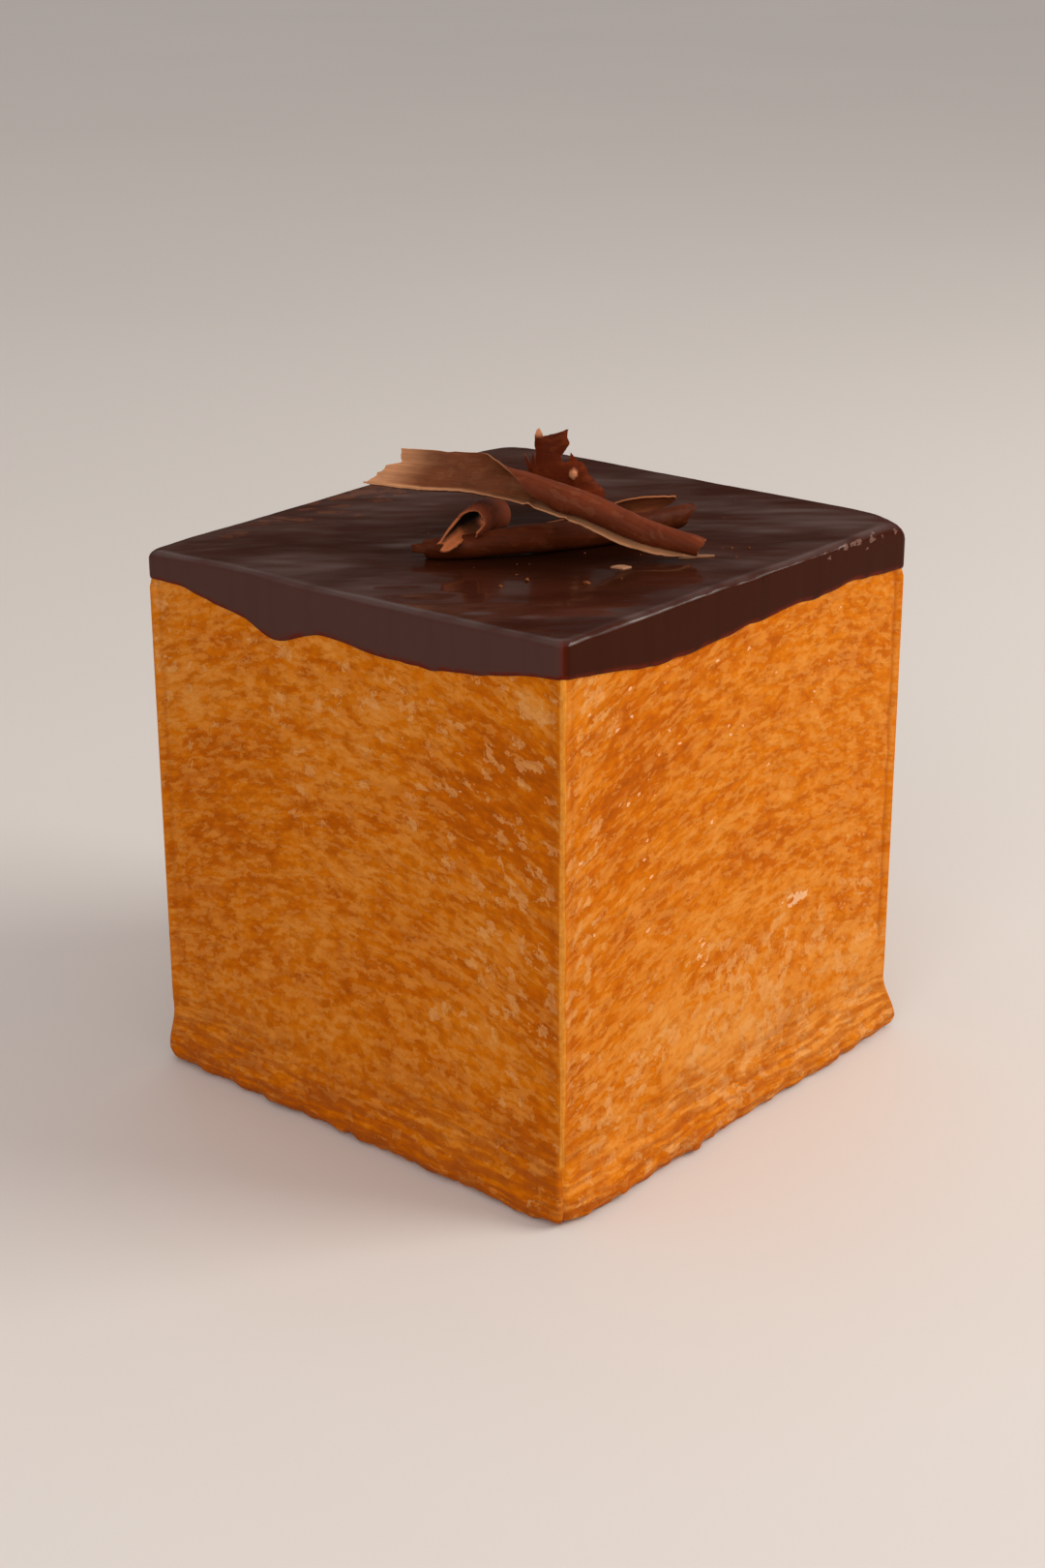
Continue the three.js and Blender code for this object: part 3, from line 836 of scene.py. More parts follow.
@dataclass
class Cube:
    """The cube's sizes, in millimetres, taken from the frame where it has them."""

    skirt_out: float = 0.4
    skirt_in: float = -0.15
    low_corner_sag: float = 1.3
    glaze_thickness: float = 2.3
    glaze_waves: float = 0.22
    glaze_wave_size: tuple[float, float] = (17.0, 11.0)
    wall_edge_radius: float = 0.8
    bead_width: float = 0.9
    scallop_deep: float = 0.32
    scallop_length: float = 4.2

    def __post_init__(self) -> None:
        """Reads the overall sizes from the frame."""
        _, glaze_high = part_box("chocolate_glaze")
        _, pastry_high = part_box("pastry_cube")
        self.half_x = glaze_high.x / MM - self.skirt_out
        self.half_y = glaze_high.y / MM - self.skirt_out
        self.pastry_top = pastry_high.z / MM
        self.glaze_level = self.pastry_top + self.glaze_thickness
        self.walls = self.four_walls()

    def four_walls(self) -> list[Wall]:
        """The walls in turn: left in the picture, right in the picture, and the two behind.

        Returns:
            The four walls.
        """
        x, y = self.half_x, self.half_y
        return [
            Wall(
                0, x, y, Corner(1.25, 5.9, 2.6, 0.3), 2.0,
                (Drip(12, 3.2, 22), Drip(-13.5, 3.6, 6), Drip(-24, 1.3, 6)),
                (
                    Patch(Zone.PALE, 33, 42, 10, 28, 0.5),
                    Patch(Zone.PALE, 34, 76, 5, 4, 0.75),
                    Patch(Zone.PALE, -36, 66, 5, 16, 0.4),
                    Patch(Zone.PALE, 2, 66, 22, 10, 0.3),
                    Patch(Zone.BROWN, 30, 62, 13, 12, 1.0),
                    Patch(Zone.BROWN, 37, 34, 7, 34, 0.6),
                    Patch(Zone.BROWN, -26, 46, 16, 11, 0.45),
                    Patch(Zone.BROWN, 0, 2, 60, 5, 0.7),
                    Patch(Zone.MOTTLED, 30, 70, 14, 14, 0.25),
                ),
            ),
            Wall(
                90, y, x, Corner(3.0, 5.2, 6.0, 0.0), 6.0,
                (Drip(-18, 2.3, 19), Drip(29, -0.6, 6)),
                (
                    Patch(Zone.PALE, -37, 45, 4, 34, 0.45),
                    Patch(Zone.PALE, -36, 76, 5, 5, 0.7),
                    Patch(Zone.PALE, 8, 14, 40, 14, 0.9),
                    # These two patches lay painted highlight streaks.
                    Patch(Zone.MOTTLED, 14, 31.5, 5, 1.6, 1.6),
                    Patch(Zone.MOTTLED, -9, 30, 2.2, 3, 1.4),
                    Patch(Zone.BROWN, -27, 64, 12, 14, 0.55),
                    Patch(Zone.BROWN, -38, 22, 4, 30, 0.4),
                    Patch(Zone.BROWN, 0, 1, 60, 3, 0.5),
                    Patch(Zone.MOTTLED, -24, 62, 22, 20, 0.75),
                    Patch(Zone.MOTTLED, 10, 68, 20, 12, 0.5),
                ),
            ),
            Wall(
                180, x, y, Corner(1.8, 7.7, 2.2, 2.0), -5.0,
                (Drip(-10, 2.4, 12), Drip(19, 1.7, 8)),
                (
                    Patch(Zone.PALE, -30, 52, 13, 22, 0.6),
                    Patch(Zone.BROWN, 20, 58, 18, 14, 0.55),
                    Patch(Zone.BROWN, 0, 4, 60, 7, 0.7),
                    Patch(Zone.MOTTLED, 10, 66, 22, 14, 0.6),
                ),
            ),
            Wall(
                270, y, x, Corner(3.0, 6.3, 5.0, 1.4), 4.0,
                (Drip(-20, 1.4, 10), Drip(13, 3.0, 13)),
                (
                    Patch(Zone.PALE, 30, 44, 13, 24, 0.6),
                    Patch(Zone.BROWN, -16, 50, 18, 14, 0.5),
                    Patch(Zone.BROWN, 0, 4, 60, 7, 0.7),
                    Patch(Zone.MOTTLED, -20, 64, 20, 16, 0.7),
                ),
            ),
        ]

    def sag(self, x: Array, y: Array) -> Array:
        """Height that the slumped top adds: nothing at three corners, the full sag at the fourth."""
        return -self.low_corner_sag * (1 - x / self.half_x) * (1 - y / self.half_y) / 4

    def glaze_top(self, x: Array, y: Array) -> Array:
        """Height of the glaze's top.

        Args:
            x: Places along x, in millimetres.
            y: Places along y, in millimetres.

        Returns:
            The heights.
        """
        long, wide = self.glaze_wave_size
        waves = self.glaze_waves * ripple(x / long + 3.3, y / wide + 1.7, Pattern.GLAZE_TOP)
        return self.glaze_level + self.sag(x, y) + waves


@dataclass
class Stations:
    """Places round the cube: a wall's number and the place along it, one of each per station."""

    cube: Cube
    index: Array
    along: Array

    def __post_init__(self) -> None:
        """Looks up each station's wall."""
        walls = self.cube.walls
        corners = [w.corner for w in walls]
        next_corners = corners[1:] + corners[:1]
        self.half = np.array([w.half for w in walls])[self.index]
        self.across = np.array([w.across for w in walls])[self.index]
        self.turn = np.radians([w.turn for w in walls])[self.index]
        self.crest = np.array([w.crest for w in walls])[self.index]
        self.share = (self.along / self.half + 1) / 2
        self.edge = self.half - np.abs(self.along)
        self.corners = {
            size.name: tuple(
                np.array([getattr(corner, size.name) for corner in group])[self.index]
                for group in (corners, next_corners)
            )
            for size in fields(Corner)
        }

    def corner_blend(self, key: str) -> Array:
        """Blends a corner's value along the wall to the next corner's."""
        return lerp(*self.corners[key], self.share)

    def nearer_corner(self, key: str) -> Array:
        """The nearer corner's value."""
        first, second = self.corners[key]
        return np.where(self.along < 0, first, second)

    def points(self, out: Array, corner_radius: Array, z: Array) -> Array:
        """Points of square rings.

        Args:
            out: How far each point stands out from its wall.
            corner_radius: The rounding of the ring's corners there.
            z: The height.

        Returns:
            The points, with x, y, z in the last axis.
        """
        out, radius, z, _ = np.broadcast_arrays(out, corner_radius, z, self.along)
        reach = self.half + out
        shift = self.edge * reach / self.half
        rounded = (1 - math.sqrt(0.5)) * radius + math.sqrt(0.5) * shift
        near = shift < radius
        shift = np.where(near, rounded, shift)
        depth = np.where(near, radius - shift, 0)
        inset = np.where(near, radius - np.sqrt(np.maximum(radius**2 - depth**2, 0)), 0)
        x = np.where(self.along < 0, -1, 1) * (reach - shift)
        y = inset - self.across - out
        cos, sin = np.cos(self.turn), np.sin(self.turn)
        return np.stack([x * cos - y * sin, x * sin + y * cos, z], axis=-1)

    def drip_edge(self) -> Array:
        """Height of the glaze skirt's lower edge.

        Returns:
            The height at each station.
        """
        fade = 1 - (2 * self.share - 1) ** 6
        swell = np.zeros_like(self.along)
        for number, wall in enumerate(self.cube.walls):
            for drip in wall.drips:
                swell += (self.index == number) * drip.deep * bell(self.along - drip.at, drip.wide)
        smooth_edge = self.cube.glaze_level - self.corner_blend("skirt_depth") - swell * fade
        cube = self.cube
        uneven = layered(self.along / cube.scallop_length, self.index * 5.0, Pattern.DRIP_SCALLOPS, 2)
        return smooth_edge + cube.scallop_deep * uneven * smooth(self.edge, 0, 4)


class Lathe:
    """Wraps closed bodies over square rings."""

    EDGE_BAND = 2.4
    EDGE_PITCH = 0.3

    def __init__(self, cube: Cube, pitch: float) -> None:
        """Spaces the stations.

        Args:
            cube: The cube's sizes.
            pitch: The spacing along the walls; it is finer at the upright edges.
        """
        index, along = [], []
        for number, wall in enumerate(cube.walls):
            inner = wall.half - self.EDGE_BAND
            near = np.arange(0, self.EDGE_BAND, self.EDGE_PITCH)
            middle = np.linspace(-inner, inner, round(2 * inner / pitch))
            places = np.concatenate([near - wall.half, middle, (wall.half - near[:0:-1])])
            along.append(places)
            index.append(np.full(len(places), number))
        index, along = np.concatenate(index), np.concatenate(along)
        same_wall = np.roll(index, -1) == index
        half = np.array([wall.half for wall in cube.walls])[index]
        self.left = Stations(cube, index, along)
        self.right = Stations(cube, index, np.where(same_wall, np.roll(along, -1), half))

    def body(self, name: str, rings: Array, poles: tuple, carried: dict) -> bpy.types.Object:
        """Builds a closed body.

        Args:
            name: The piece's name.
            rings: Points by ring and station, from the lowest ring up.
            poles: The points under the first ring and over the last.
            carried: For each named vector, a function of stations that gives it by ring and station.

        Returns:
            The piece.
        """
        rows, count = rings.shape[:2]
        points = np.concatenate([[poles[0]], rings.reshape(-1, 3), [poles[1]]])
        start = 1 + np.arange(rows * count).reshape(rows, count)
        ahead = np.roll(start, -1, axis=1)
        quads = np.stack([start[:-1], ahead[:-1], ahead[1:], start[1:]], axis=-1).reshape(-1, 4)
        last = len(points) - 1
        low = [(0, int(b), int(a)) for a, b in zip(start[0], ahead[0])]
        high = [(last, int(a), int(b)) for a, b in zip(start[-1], ahead[-1])]
        values = {}
        for label, read in carried.items():
            here, there = read(self.left), read(self.right)
            walls = np.stack([here[:-1], there[:-1], there[1:], here[1:]], axis=2).reshape(-1, 3)
            foot = np.stack([here[0], there[0], here[0]], axis=1).reshape(-1, 3)
            head = np.stack([here[-1], here[-1], there[-1]], axis=1).reshape(-1, 3)
            values[label] = np.concatenate([walls, foot, head])
        return make_piece(name, points, quads.tolist() + low + high, values)


# ---------------------------------------------------------------- the pastry


@dataclass
class LaminatedCrust:
    """The baked cube: layered walls, crisp upright beads and a flared, torn lip."""

    cube: Cube
    pitch: float = 0.62
    bulge: float = 0.25
    bead_proud: float = 0.25
    groove_deep: float = 0.13
    groove_at: float = 2.0
    groove_width: float = 0.5
    faint_groove: float = 0.45
    wave_relief: float = 0.14
    wave_size: tuple[float, float] = (12.0, 3.2)
    layer_relief: float = 0.09
    layer_size: tuple[float, float] = (6.0, 1.5)
    shelf_relief: float = 0.16
    shelf_size: tuple[float, float] = (11.0, 1.1)
    foot_zone: tuple[float, float] = (5.0, 15.0)
    arch: float = 7.0
    lip_full: float = 1.5
    lip_rise: float = 9.5
    lip_ragged: float = 0.35
    lip_tear_length: float = 2.6
    lip_lift: float = 0.9
    shred_relief: float = 0.55
    shred_size: tuple[float, float] = (1.9, 1.3)
    crag_at: float = -12.0
    crag_proud: float = 1.1
    crag_width: float = 1.6
    crag_height: float = 3.6
    wall_apart: float = 61.0
    foot_rows: tuple = ((0.0, 7.7), (0.0, 1.7), (0.4, 0.8), (0.8, 0.4), (1.4, 0.15))
    wall_start: float = 2.1
    wall_rows: int = 130
    under_skirt: float = 1.2
    seat: float = 0.45
    shoulder: float = 1.5
    shoulder_angles: tuple = (0, 30, 60, 90)

    def grain_height(self, stations: Stations, z: Array) -> Array:
        """Height measured across the dough layers, which arch over the middle of the wall."""
        lean = (stations.along - stations.crest) / stations.half
        return z - self.arch * smooth(z, 2, 34) * (1 - lean**2)

    def relief(self, stations: Stations, z: Array) -> Array:
        """How far the wall stands out from flat.

        Args:
            stations: Places round the cube.
            z: Heights, by row and station.

        Returns:
            The distance, by row and station.
        """
        along, half, index = stations.along, stations.half, stations.index
        swell = 1 - (along / half) ** 2
        long, high = self.wave_size
        waves = self.wave_relief * ripple(along / long, (z - 3 * swell) / high, Pattern.WALL_WAVES + index)
        bulge = self.bulge * np.sin(np.pi * z / self.cube.pastry_top) * swell
        bead_width = self.cube.bead_width
        clear = 1 - smooth(z - stations.drip_edge(), -1.2, -0.2)
        bead = self.bead_proud * bell(stations.edge - bead_width / 2, bead_width) * clear
        groove = self.groove_deep * bell(stations.edge - self.groove_at, self.groove_width)
        long, high = self.layer_size
        grain = self.grain_height(stations, z)
        layers = self.layer_relief * layered(along / long + 9 * index, grain / high, Pattern.DOUGH_LAYERS)
        long, high = self.shelf_size
        shelves = layered(along / long + 9 * index, z / high, Pattern.FOOT_SHELVES, 2)
        shelves = shelves * self.shelf_relief * (1 - smooth(z, *self.foot_zone))
        inner = smooth(stations.edge, 1.0, 3.0)
        return bulge + bead - groove * self.grooved(stations, z) + (waves + layers + shelves) * inner

    def grooved(self, stations: Stations, z: Array) -> Array:
        """How clear the groove beside the bead is: deep at the cube's right edge, faint elsewhere."""
        right_edge = (stations.index == 1) & (stations.along > 0)
        return np.where(right_edge, 1.0, self.faint_groove) * smooth(z, 12, 20)

    def lip(self, stations: Stations, z: Array) -> Array:
        """How far the lip round the base flares out, with its torn edge.

        Args:
            stations: Places round the cube.
            z: Heights, by row and station.

        Returns:
            The distance, by row and station.
        """
        along, index = stations.along, stations.index
        flare = stations.corner_blend("lip_out") * (1 - smooth(z, self.lip_full, self.lip_rise))
        low = 1 - smooth(z, 0, self.lip_rise)
        torn = self.lip_ragged * ripple(along / self.lip_tear_length, index, Pattern.TORN_LIP) * low
        long, high = self.shred_size
        shreds = layered(along / long + 7 * index, z / high, Pattern.LIP_SHREDS, 2)
        shreds = shreds * self.shred_relief * (1 - smooth(z, 0.5, 5)) * smooth(stations.edge, 0, 3)
        crag = self.crag_proud * bell(along - self.crag_at, self.crag_width) * (index == 1)
        return flare + torn + shreds + crag * (1 - smooth(z, 1, self.crag_height))

    def foot_lift(self, stations: Stations) -> Array:
        """How high the torn edge of the lip curls up from what the cube stands on.

        Args:
            stations: Places round the cube.

        Returns:
            The lift at each station.
        """
        place = stations.along + 30 * stations.index
        torn = layered(place / 6.5, 0, Pattern.FOOT_LIFT)
        torn = torn + 0.5 * layered(place / 1.6, 0, Pattern.FOOT_SHREDS)
        return self.lip_lift * np.maximum(torn, 0) * smooth(stations.edge, 2, 6)

    def heights(self, stations: Stations) -> tuple[Array, Array]:
        """The rows of the wall.

        Args:
            stations: Places round the cube.

        Returns:
            Each row's height and how far it is drawn in, by row and station.
        """
        lift = self.foot_lift(stations)
        foot = [height + lift * (height > 0) for height, _ in self.foot_rows]
        first, last = self.wall_start + lift, stations.drip_edge() + self.under_skirt
        wall = [lerp(first, last, share**1.04) for share in np.linspace(0, 1, self.wall_rows)]
        inset = np.zeros(len(foot) + len(wall))
        inset[: len(foot)] = [inward for _, inward in self.foot_rows]
        z = np.array(foot + wall)
        return z, np.broadcast_to(inset[:, None], z.shape)

    def corner_radius(self, stations: Stations, z: Array) -> Array:
        """The outline's corner radius: wide round the foot, crisp above it."""
        crisp = smooth(z, 0, self.lip_rise + 3)
        return lerp(stations.nearer_corner("foot_radius"), self.cube.wall_edge_radius, crisp)

    def rings(self, stations: Stations) -> Array:
        """All rings of the body, from its base to its hidden top.

        Args:
            stations: Places round the cube.

        Returns:
            The points, by ring and station.
        """
        z, inset = self.heights(stations)
        out = self.relief(stations, z) + self.lip(stations, z) - inset
        walls = stations.points(out, self.corner_radius(stations, z), z)
        top = []
        for angle in self.shoulder_angles:
            a = math.radians(angle)
            drop = self.shoulder * (1 - math.sin(a))
            drawn_in = self.seat + self.shoulder * (1 - math.cos(a))
            top.append(self.top_ring(stations, drawn_in, drop))
        top.append(self.top_ring(stations, self.cube.half_x / 2, 0))
        return np.concatenate([walls, top])

    def top_ring(self, stations: Stations, inset: float, drop: float) -> Array:
        """A ring of the hidden top.

        Args:
            stations: Places round the cube.
            inset: How far in it lies.
            drop: How far it lies under the top.

        Returns:
            The ring's points.
        """
        points = stations.points(-inset, self.cube.wall_edge_radius, self.cube.pastry_top - drop)
        points[:, 2] += self.cube.sag(points[:, 0], points[:, 1])
        return points

    def row_heights(self, stations: Stations) -> Array:
        """Each ring's height for the patterns that the mesh carries."""
        z, _ = self.heights(stations)
        return np.concatenate([z, np.repeat(z[-1:], len(self.shoulder_angles) + 1, axis=0)])

    def grain(self, stations: Stations) -> Array:
        """Place along the dough layers, across them, and a number that sets the walls apart.

        Args:
            stations: Places round the cube.

        Returns:
            The three, by ring and station.
        """
        z = self.row_heights(stations)
        apart = stations.index * self.wall_apart
        parts = np.broadcast_arrays(stations.along, self.grain_height(stations, z), apart)
        return np.stack(parts, axis=-1)

    def bake(self, stations: Stations) -> Array:
        """How browned, how pale and flaky, and how much painted glint the crust has.

        Args:
            stations: Places round the cube.

        Returns:
            The three, each 0 to 1, by ring and station.
        """
        z = self.row_heights(stations)
        total = np.zeros((*z.shape, 3))
        for number, wall in enumerate(self.cube.walls):
            for patch in wall.patches:
                cover = bell(stations.along - patch.along, patch.wide) * bell(z - patch.z, patch.high)
                total[..., patch.zone.value] += (stations.index == number) * patch.amount * cover
        return np.clip(total, 0, 1)

    def trim(self, stations: Stations) -> Array:
        """Where the bead, the groove beside it and the layered foot lie.

        Args:
            stations: Places round the cube.

        Returns:
            The three, each 0 to 1, by ring and station.
        """
        z = self.row_heights(stations)
        wide = self.cube.bead_width * (1 + 0.25 * ripple(z / 7, stations.index, Pattern.BEAD_WIDTH))
        bead = 1 - smooth(stations.edge / wide, 0.5, 1.3)
        groove = bell(stations.edge - self.groove_at, 0.42) * self.grooved(stations, z)
        wave = 3 * ripple(stations.along / 13, stations.index, Pattern.FOOT_LIMIT)
        foot = 1 - smooth(z + wave, *self.foot_zone)
        return np.stack([bead * smooth(z, 2, 9), groove, foot], axis=-1)

    def build(self, finish: CrustFinish, effects: Effects) -> None:
        """Makes the crust and puts it in place of its solid.

        Args:
            finish: The crust's finish.
            effects: The shared node groups.
        """
        lathe = Lathe(self.cube, self.pitch)
        rings = self.rings(lathe.left)
        poles = ((0, 0, 0), (0, 0, self.cube.pastry_top + self.cube.sag(0, 0)))
        carried = {"grain": self.grain, "bake": self.bake, "trim": self.trim}
        piece = lathe.body("laminated_crust", rings, poles, carried)
        finish_piece(piece, finish.material(effects), "baked_pastry", "pastry_cube")


# ---------------------------------------------------------------- the glaze


@dataclass
class GlazeCap:
    """The glaze: a level top with knife waves, crisp edges and a skirt down the walls."""

    cube: Cube
    pitch: float = 0.62
    edge_radius: float = 1.1
    corner_radius: float = 1.6
    lower_lip: float = 0.45
    under_gap: float = 0.3
    skirt_rows: int = 16
    top_rows: int = 46
    knife_run: tuple[float, float] = (0.77, 0.64)
    wave_high: float = 0.09
    wave_size: tuple[float, float] = (13.0, 5.5)
    line_high: float = 0.025
    line_size: tuple[float, float] = (7.0, 1.9)
    skirt_sway: float = 0.07
    edge_uneven: float = 0.25
    # Where the painted shade round the heap lies, and how far it reaches.
    heap_middle: tuple[float, float] = (6.0, -3.0)
    heap_run: tuple[float, float] = (0.78, -0.62)
    heap_reach: tuple[float, float] = (28.0, 20.0)
    bare_middle: tuple[float, float] = (-36.0, 2.0)
    bare_reach: tuple[float, float] = (5.0, 18.0)
    # Where the painted highlight on the right skirt lies.
    smear_at: float = 27.0
    smear_reach: float = 7.0

    def knife_marks(self, x: Array, y: Array) -> Array:
        """Fine waves that the palette knife left on the top.

        Args:
            x: Places along x, in millimetres.
            y: Places along y, in millimetres.

        Returns:
            Their heights.
        """
        cos, sin = self.knife_run
        along, across = cos * x + sin * y, cos * y - sin * x
        long, wide = self.wave_size
        waves = self.wave_high * layered(along / long, across / wide, Pattern.KNIFE_WAVES)
        long, wide = self.line_size
        return waves + self.line_high * ripple(along / long, across / wide, Pattern.KNIFE_LINES)

    def skirt_ring(self, stations: Stations, out: float, z: Array) -> Array:
        """A ring of the skirt, its inner side as crisp at the corners as the pastry.

        Args:
            stations: Places round the cube.
            out: How far it stands out from the wall.
            z: The height at each station.

        Returns:
            The ring's points.
        """
        share = (out - self.cube.skirt_in) / (self.cube.skirt_out - self.cube.skirt_in)
        radius = lerp(self.cube.wall_edge_radius, self.corner_radius, share)
        sway = layered(stations.along / 7 + 3 * stations.index, z / 9, Pattern.SKIRT_SWAY, 2)
        bulge = self.skirt_sway * sway * smooth(stations.edge, 1, 5) * share
        return stations.points(out + bulge, radius, z)

    def top_ring(self, stations: Stations, inset: Array, drop: Array) -> Array:
        """A ring of the glaze's upper edge or top.

        Args:
            stations: Places round the cube.
            inset: How far in it lies.
            drop: How far it lies under the top.

        Returns:
            The ring's points.
        """
        on_top = smooth(inset, 1, 4)
        rounder = self.corner_radius + stations.nearer_corner("top_rounding") * on_top
        points = stations.points(self.cube.skirt_out - inset, rounder, 0.0)
        x, y = points[:, 0], points[:, 1]
        points[:, 2] = self.cube.glaze_top(x, y) - drop + on_top * self.knife_marks(x, y)
        return points

    def rounding(self, stations: Stations) -> Array:
        """The radius of the upper edge, which grows towards the rounder corners.

        Args:
            stations: Places round the cube.

        Returns:
            The radius at each station.
        """
        swing = layered(stations.along / 6, stations.index, Pattern.UPPER_EDGE) * smooth(stations.edge, 0, 4)
        rounder = stations.nearer_corner("top_rounding") * bell(stations.edge, 4.5)
        return self.edge_radius * (1 + self.edge_uneven * swing) + rounder

    def under_ring(self, stations: Stations, inset: float) -> Array:
        """A ring of the underside, which follows the pastry's top.

        Args:
            stations: Places round the cube.
            inset: How far in it lies.

        Returns:
            The ring's points.
        """
        points = stations.points(self.cube.skirt_in - inset, self.cube.wall_edge_radius, 0.0)
        points[:, 2] = self.underside(points[:, 0], points[:, 1])
        return points

    def underside(self, x: Array, y: Array) -> Array:
        """Height of the glaze's underside."""
        return self.cube.pastry_top + self.under_gap + self.cube.sag(x, y)

    def ring_list(self, stations: Stations) -> tuple[list[Array], list[tuple[float, float]]]:
        """All rings of the body with what each carries.

        Args:
            stations: Places round the cube.

        Returns:
            The rings, and for each its share of thin glaze and of skirt.
        """
        cube = self.cube
        rings, carried = [], []

        def add(ring: Array, thin: float, skirt: float) -> None:
            """Keeps a ring with its share of thin glaze and of skirt."""
            rings.append(ring)
            carried.append((thin, skirt))

        edge = stations.drip_edge()
        add(self.under_ring(stations, cube.half_x / 2), 0, 1)
        add(self.under_ring(stations, 0), 0, 1)
        for angle in (0, 45, 90, 135, 180):
            a = math.radians(angle)
            out = lerp(cube.skirt_in, cube.skirt_out, (1 - math.cos(a)) / 2)
            add(self.skirt_ring(stations, out, edge + self.lower_lip * (1 - math.sin(a))), 1.0, 1)
        r = self.rounding(stations)
        skirt_top = cube.glaze_level - cube.low_corner_sag - r
        for share in np.arange(1, self.skirt_rows) / self.skirt_rows:
            thin = 0.5 * float(1 - smooth(share, 0, 0.12))
            height = lerp(edge + self.lower_lip, skirt_top, share)
            add(self.skirt_ring(stations, cube.skirt_out, height), thin, 1)
        for angle in range(0, 91, 15):
            a = math.radians(angle)
            thin = 0.12 * math.sin(2 * a)
            add(self.top_ring(stations, r * (1 - math.cos(a)), r * (1 - math.sin(a))), thin, math.cos(a))
        for share in np.concatenate([np.arange(0.015, 0.12, 0.015), np.linspace(0.12, 1, self.top_rows)]):
            add(self.top_ring(stations, lerp(r, cube.half_x - 1, share), 0), 0, 0)
        return rings, carried

    def film(self, stations: Stations) -> Array:
        """How thin the glaze is, how nearly bare, and whether it is the skirt.

        Args:
            stations: Places round the cube.

        Returns:
            The three, each 0 to 1, by ring and station.
        """
        rings, carried = self.ring_list(stations)
        points = np.array(rings)
        x, y = points[..., 0], points[..., 1]
        thin, skirt = (np.array([row[k] for row in carried])[:, None] for k in (0, 1))
        corner = bell(stations.edge, 0.5) * (0.6 * skirt)
        (x0, y0), (wide, long) = self.bare_middle, self.bare_reach
        bare = 0.5 * bell(x - x0, wide) * bell(y - y0, long) * (1 - skirt)
        thin, bare, skirt = np.broadcast_arrays(np.clip(thin * 0.8 + corner, 0, 1), bare, skirt)
        return np.stack([thin, bare, skirt], axis=-1)

    def painted_light(self, stations: Stations) -> Array:
        """Painted light: a painted reflection on the skirt, painted highlights on its upper edge, and
        painted shade on the top round the heap.

        Args:
            stations: Places round the cube.

        Returns:
            The three, each 0 to 1, by ring and station.
        """
        rings, carried = self.ring_list(stations)
        points = np.array(rings)
        skirt = np.array([row[1] for row in carried])[:, None]
        # Painted reflection on the skirt: full on the left wall, none on the right, rising round the two
        # walls behind.
        reflection_share = np.choose(stations.index, [1.0, 0.0, stations.share / 2, 0.5 + stations.share / 2])
        # Painted highlight near the right end of the right skirt's upper edge.
        right_end = (stations.index == 1) * bell(stations.along - self.smear_at, self.smear_reach)
        upper_edge = bell(points[..., 2] - self.cube.glaze_level + 0.7, 1.0)
        x, y = points[..., 0] - self.heap_middle[0], points[..., 1] - self.heap_middle[1]
        (cos, sin), (long, wide) = self.heap_run, self.heap_reach
        away = np.hypot((cos * x + sin * y) / long, (cos * y - sin * x) / wide)
        # Painted shade on the top round the heap.
        painted_shade = (1 - smooth(away, 0.5, 1.15)) * (1 - skirt)
        return np.stack([reflection_share * skirt, 0.34 * right_end * upper_edge * skirt, painted_shade], axis=-1)

    def build(self, finish: GlazeFinish, effects: Effects) -> None:
        """Makes the glaze and puts it in place of its solid.

        Args:
            finish: The glaze's finish.
            effects: The shared node groups.
        """
        lathe = Lathe(self.cube, self.pitch)
        rings, _ = self.ring_list(lathe.left)
        top = self.cube.glaze_top(0, 0) + self.knife_marks(0, 0)
        poles = ((0, 0, self.underside(0, 0)), (0, 0, top))
        piece = lathe.body("glaze_cap", np.array(rings), poles, {"film": self.film, "painted_light": self.painted_light})
        finish_piece(piece, finish.material(effects), "dark_glaze", "chocolate_glaze")


# ---------------------------------------------------------------- chocolate shavings


def run_through(place: Array, rows: Array) -> Array:
    """Runs smoothly through rows of values.

    Args:
        place: Where to read, from the first row's place to the last row's.
        rows: For each row its place, then its values.

    Returns:
        The values, with their number in the last axis.
    """
    places, values = rows[:, 0], rows[:, 1:]
    slopes = np.gradient(values, places, axis=0)
    span = np.clip(np.searchsorted(places, place) - 1, 0, len(places) - 2)
    step = (places[span + 1] - places[span])[..., None]
    t = (place - places[span])[..., None] / step
    level = values[span] * (1 + 2 * t) * (1 - t) ** 2 + values[span + 1] * t**2 * (3 - 2 * t)
    return level + step * (slopes[span] * t * (1 - t) ** 2 - slopes[span + 1] * t**2 * (1 - t))


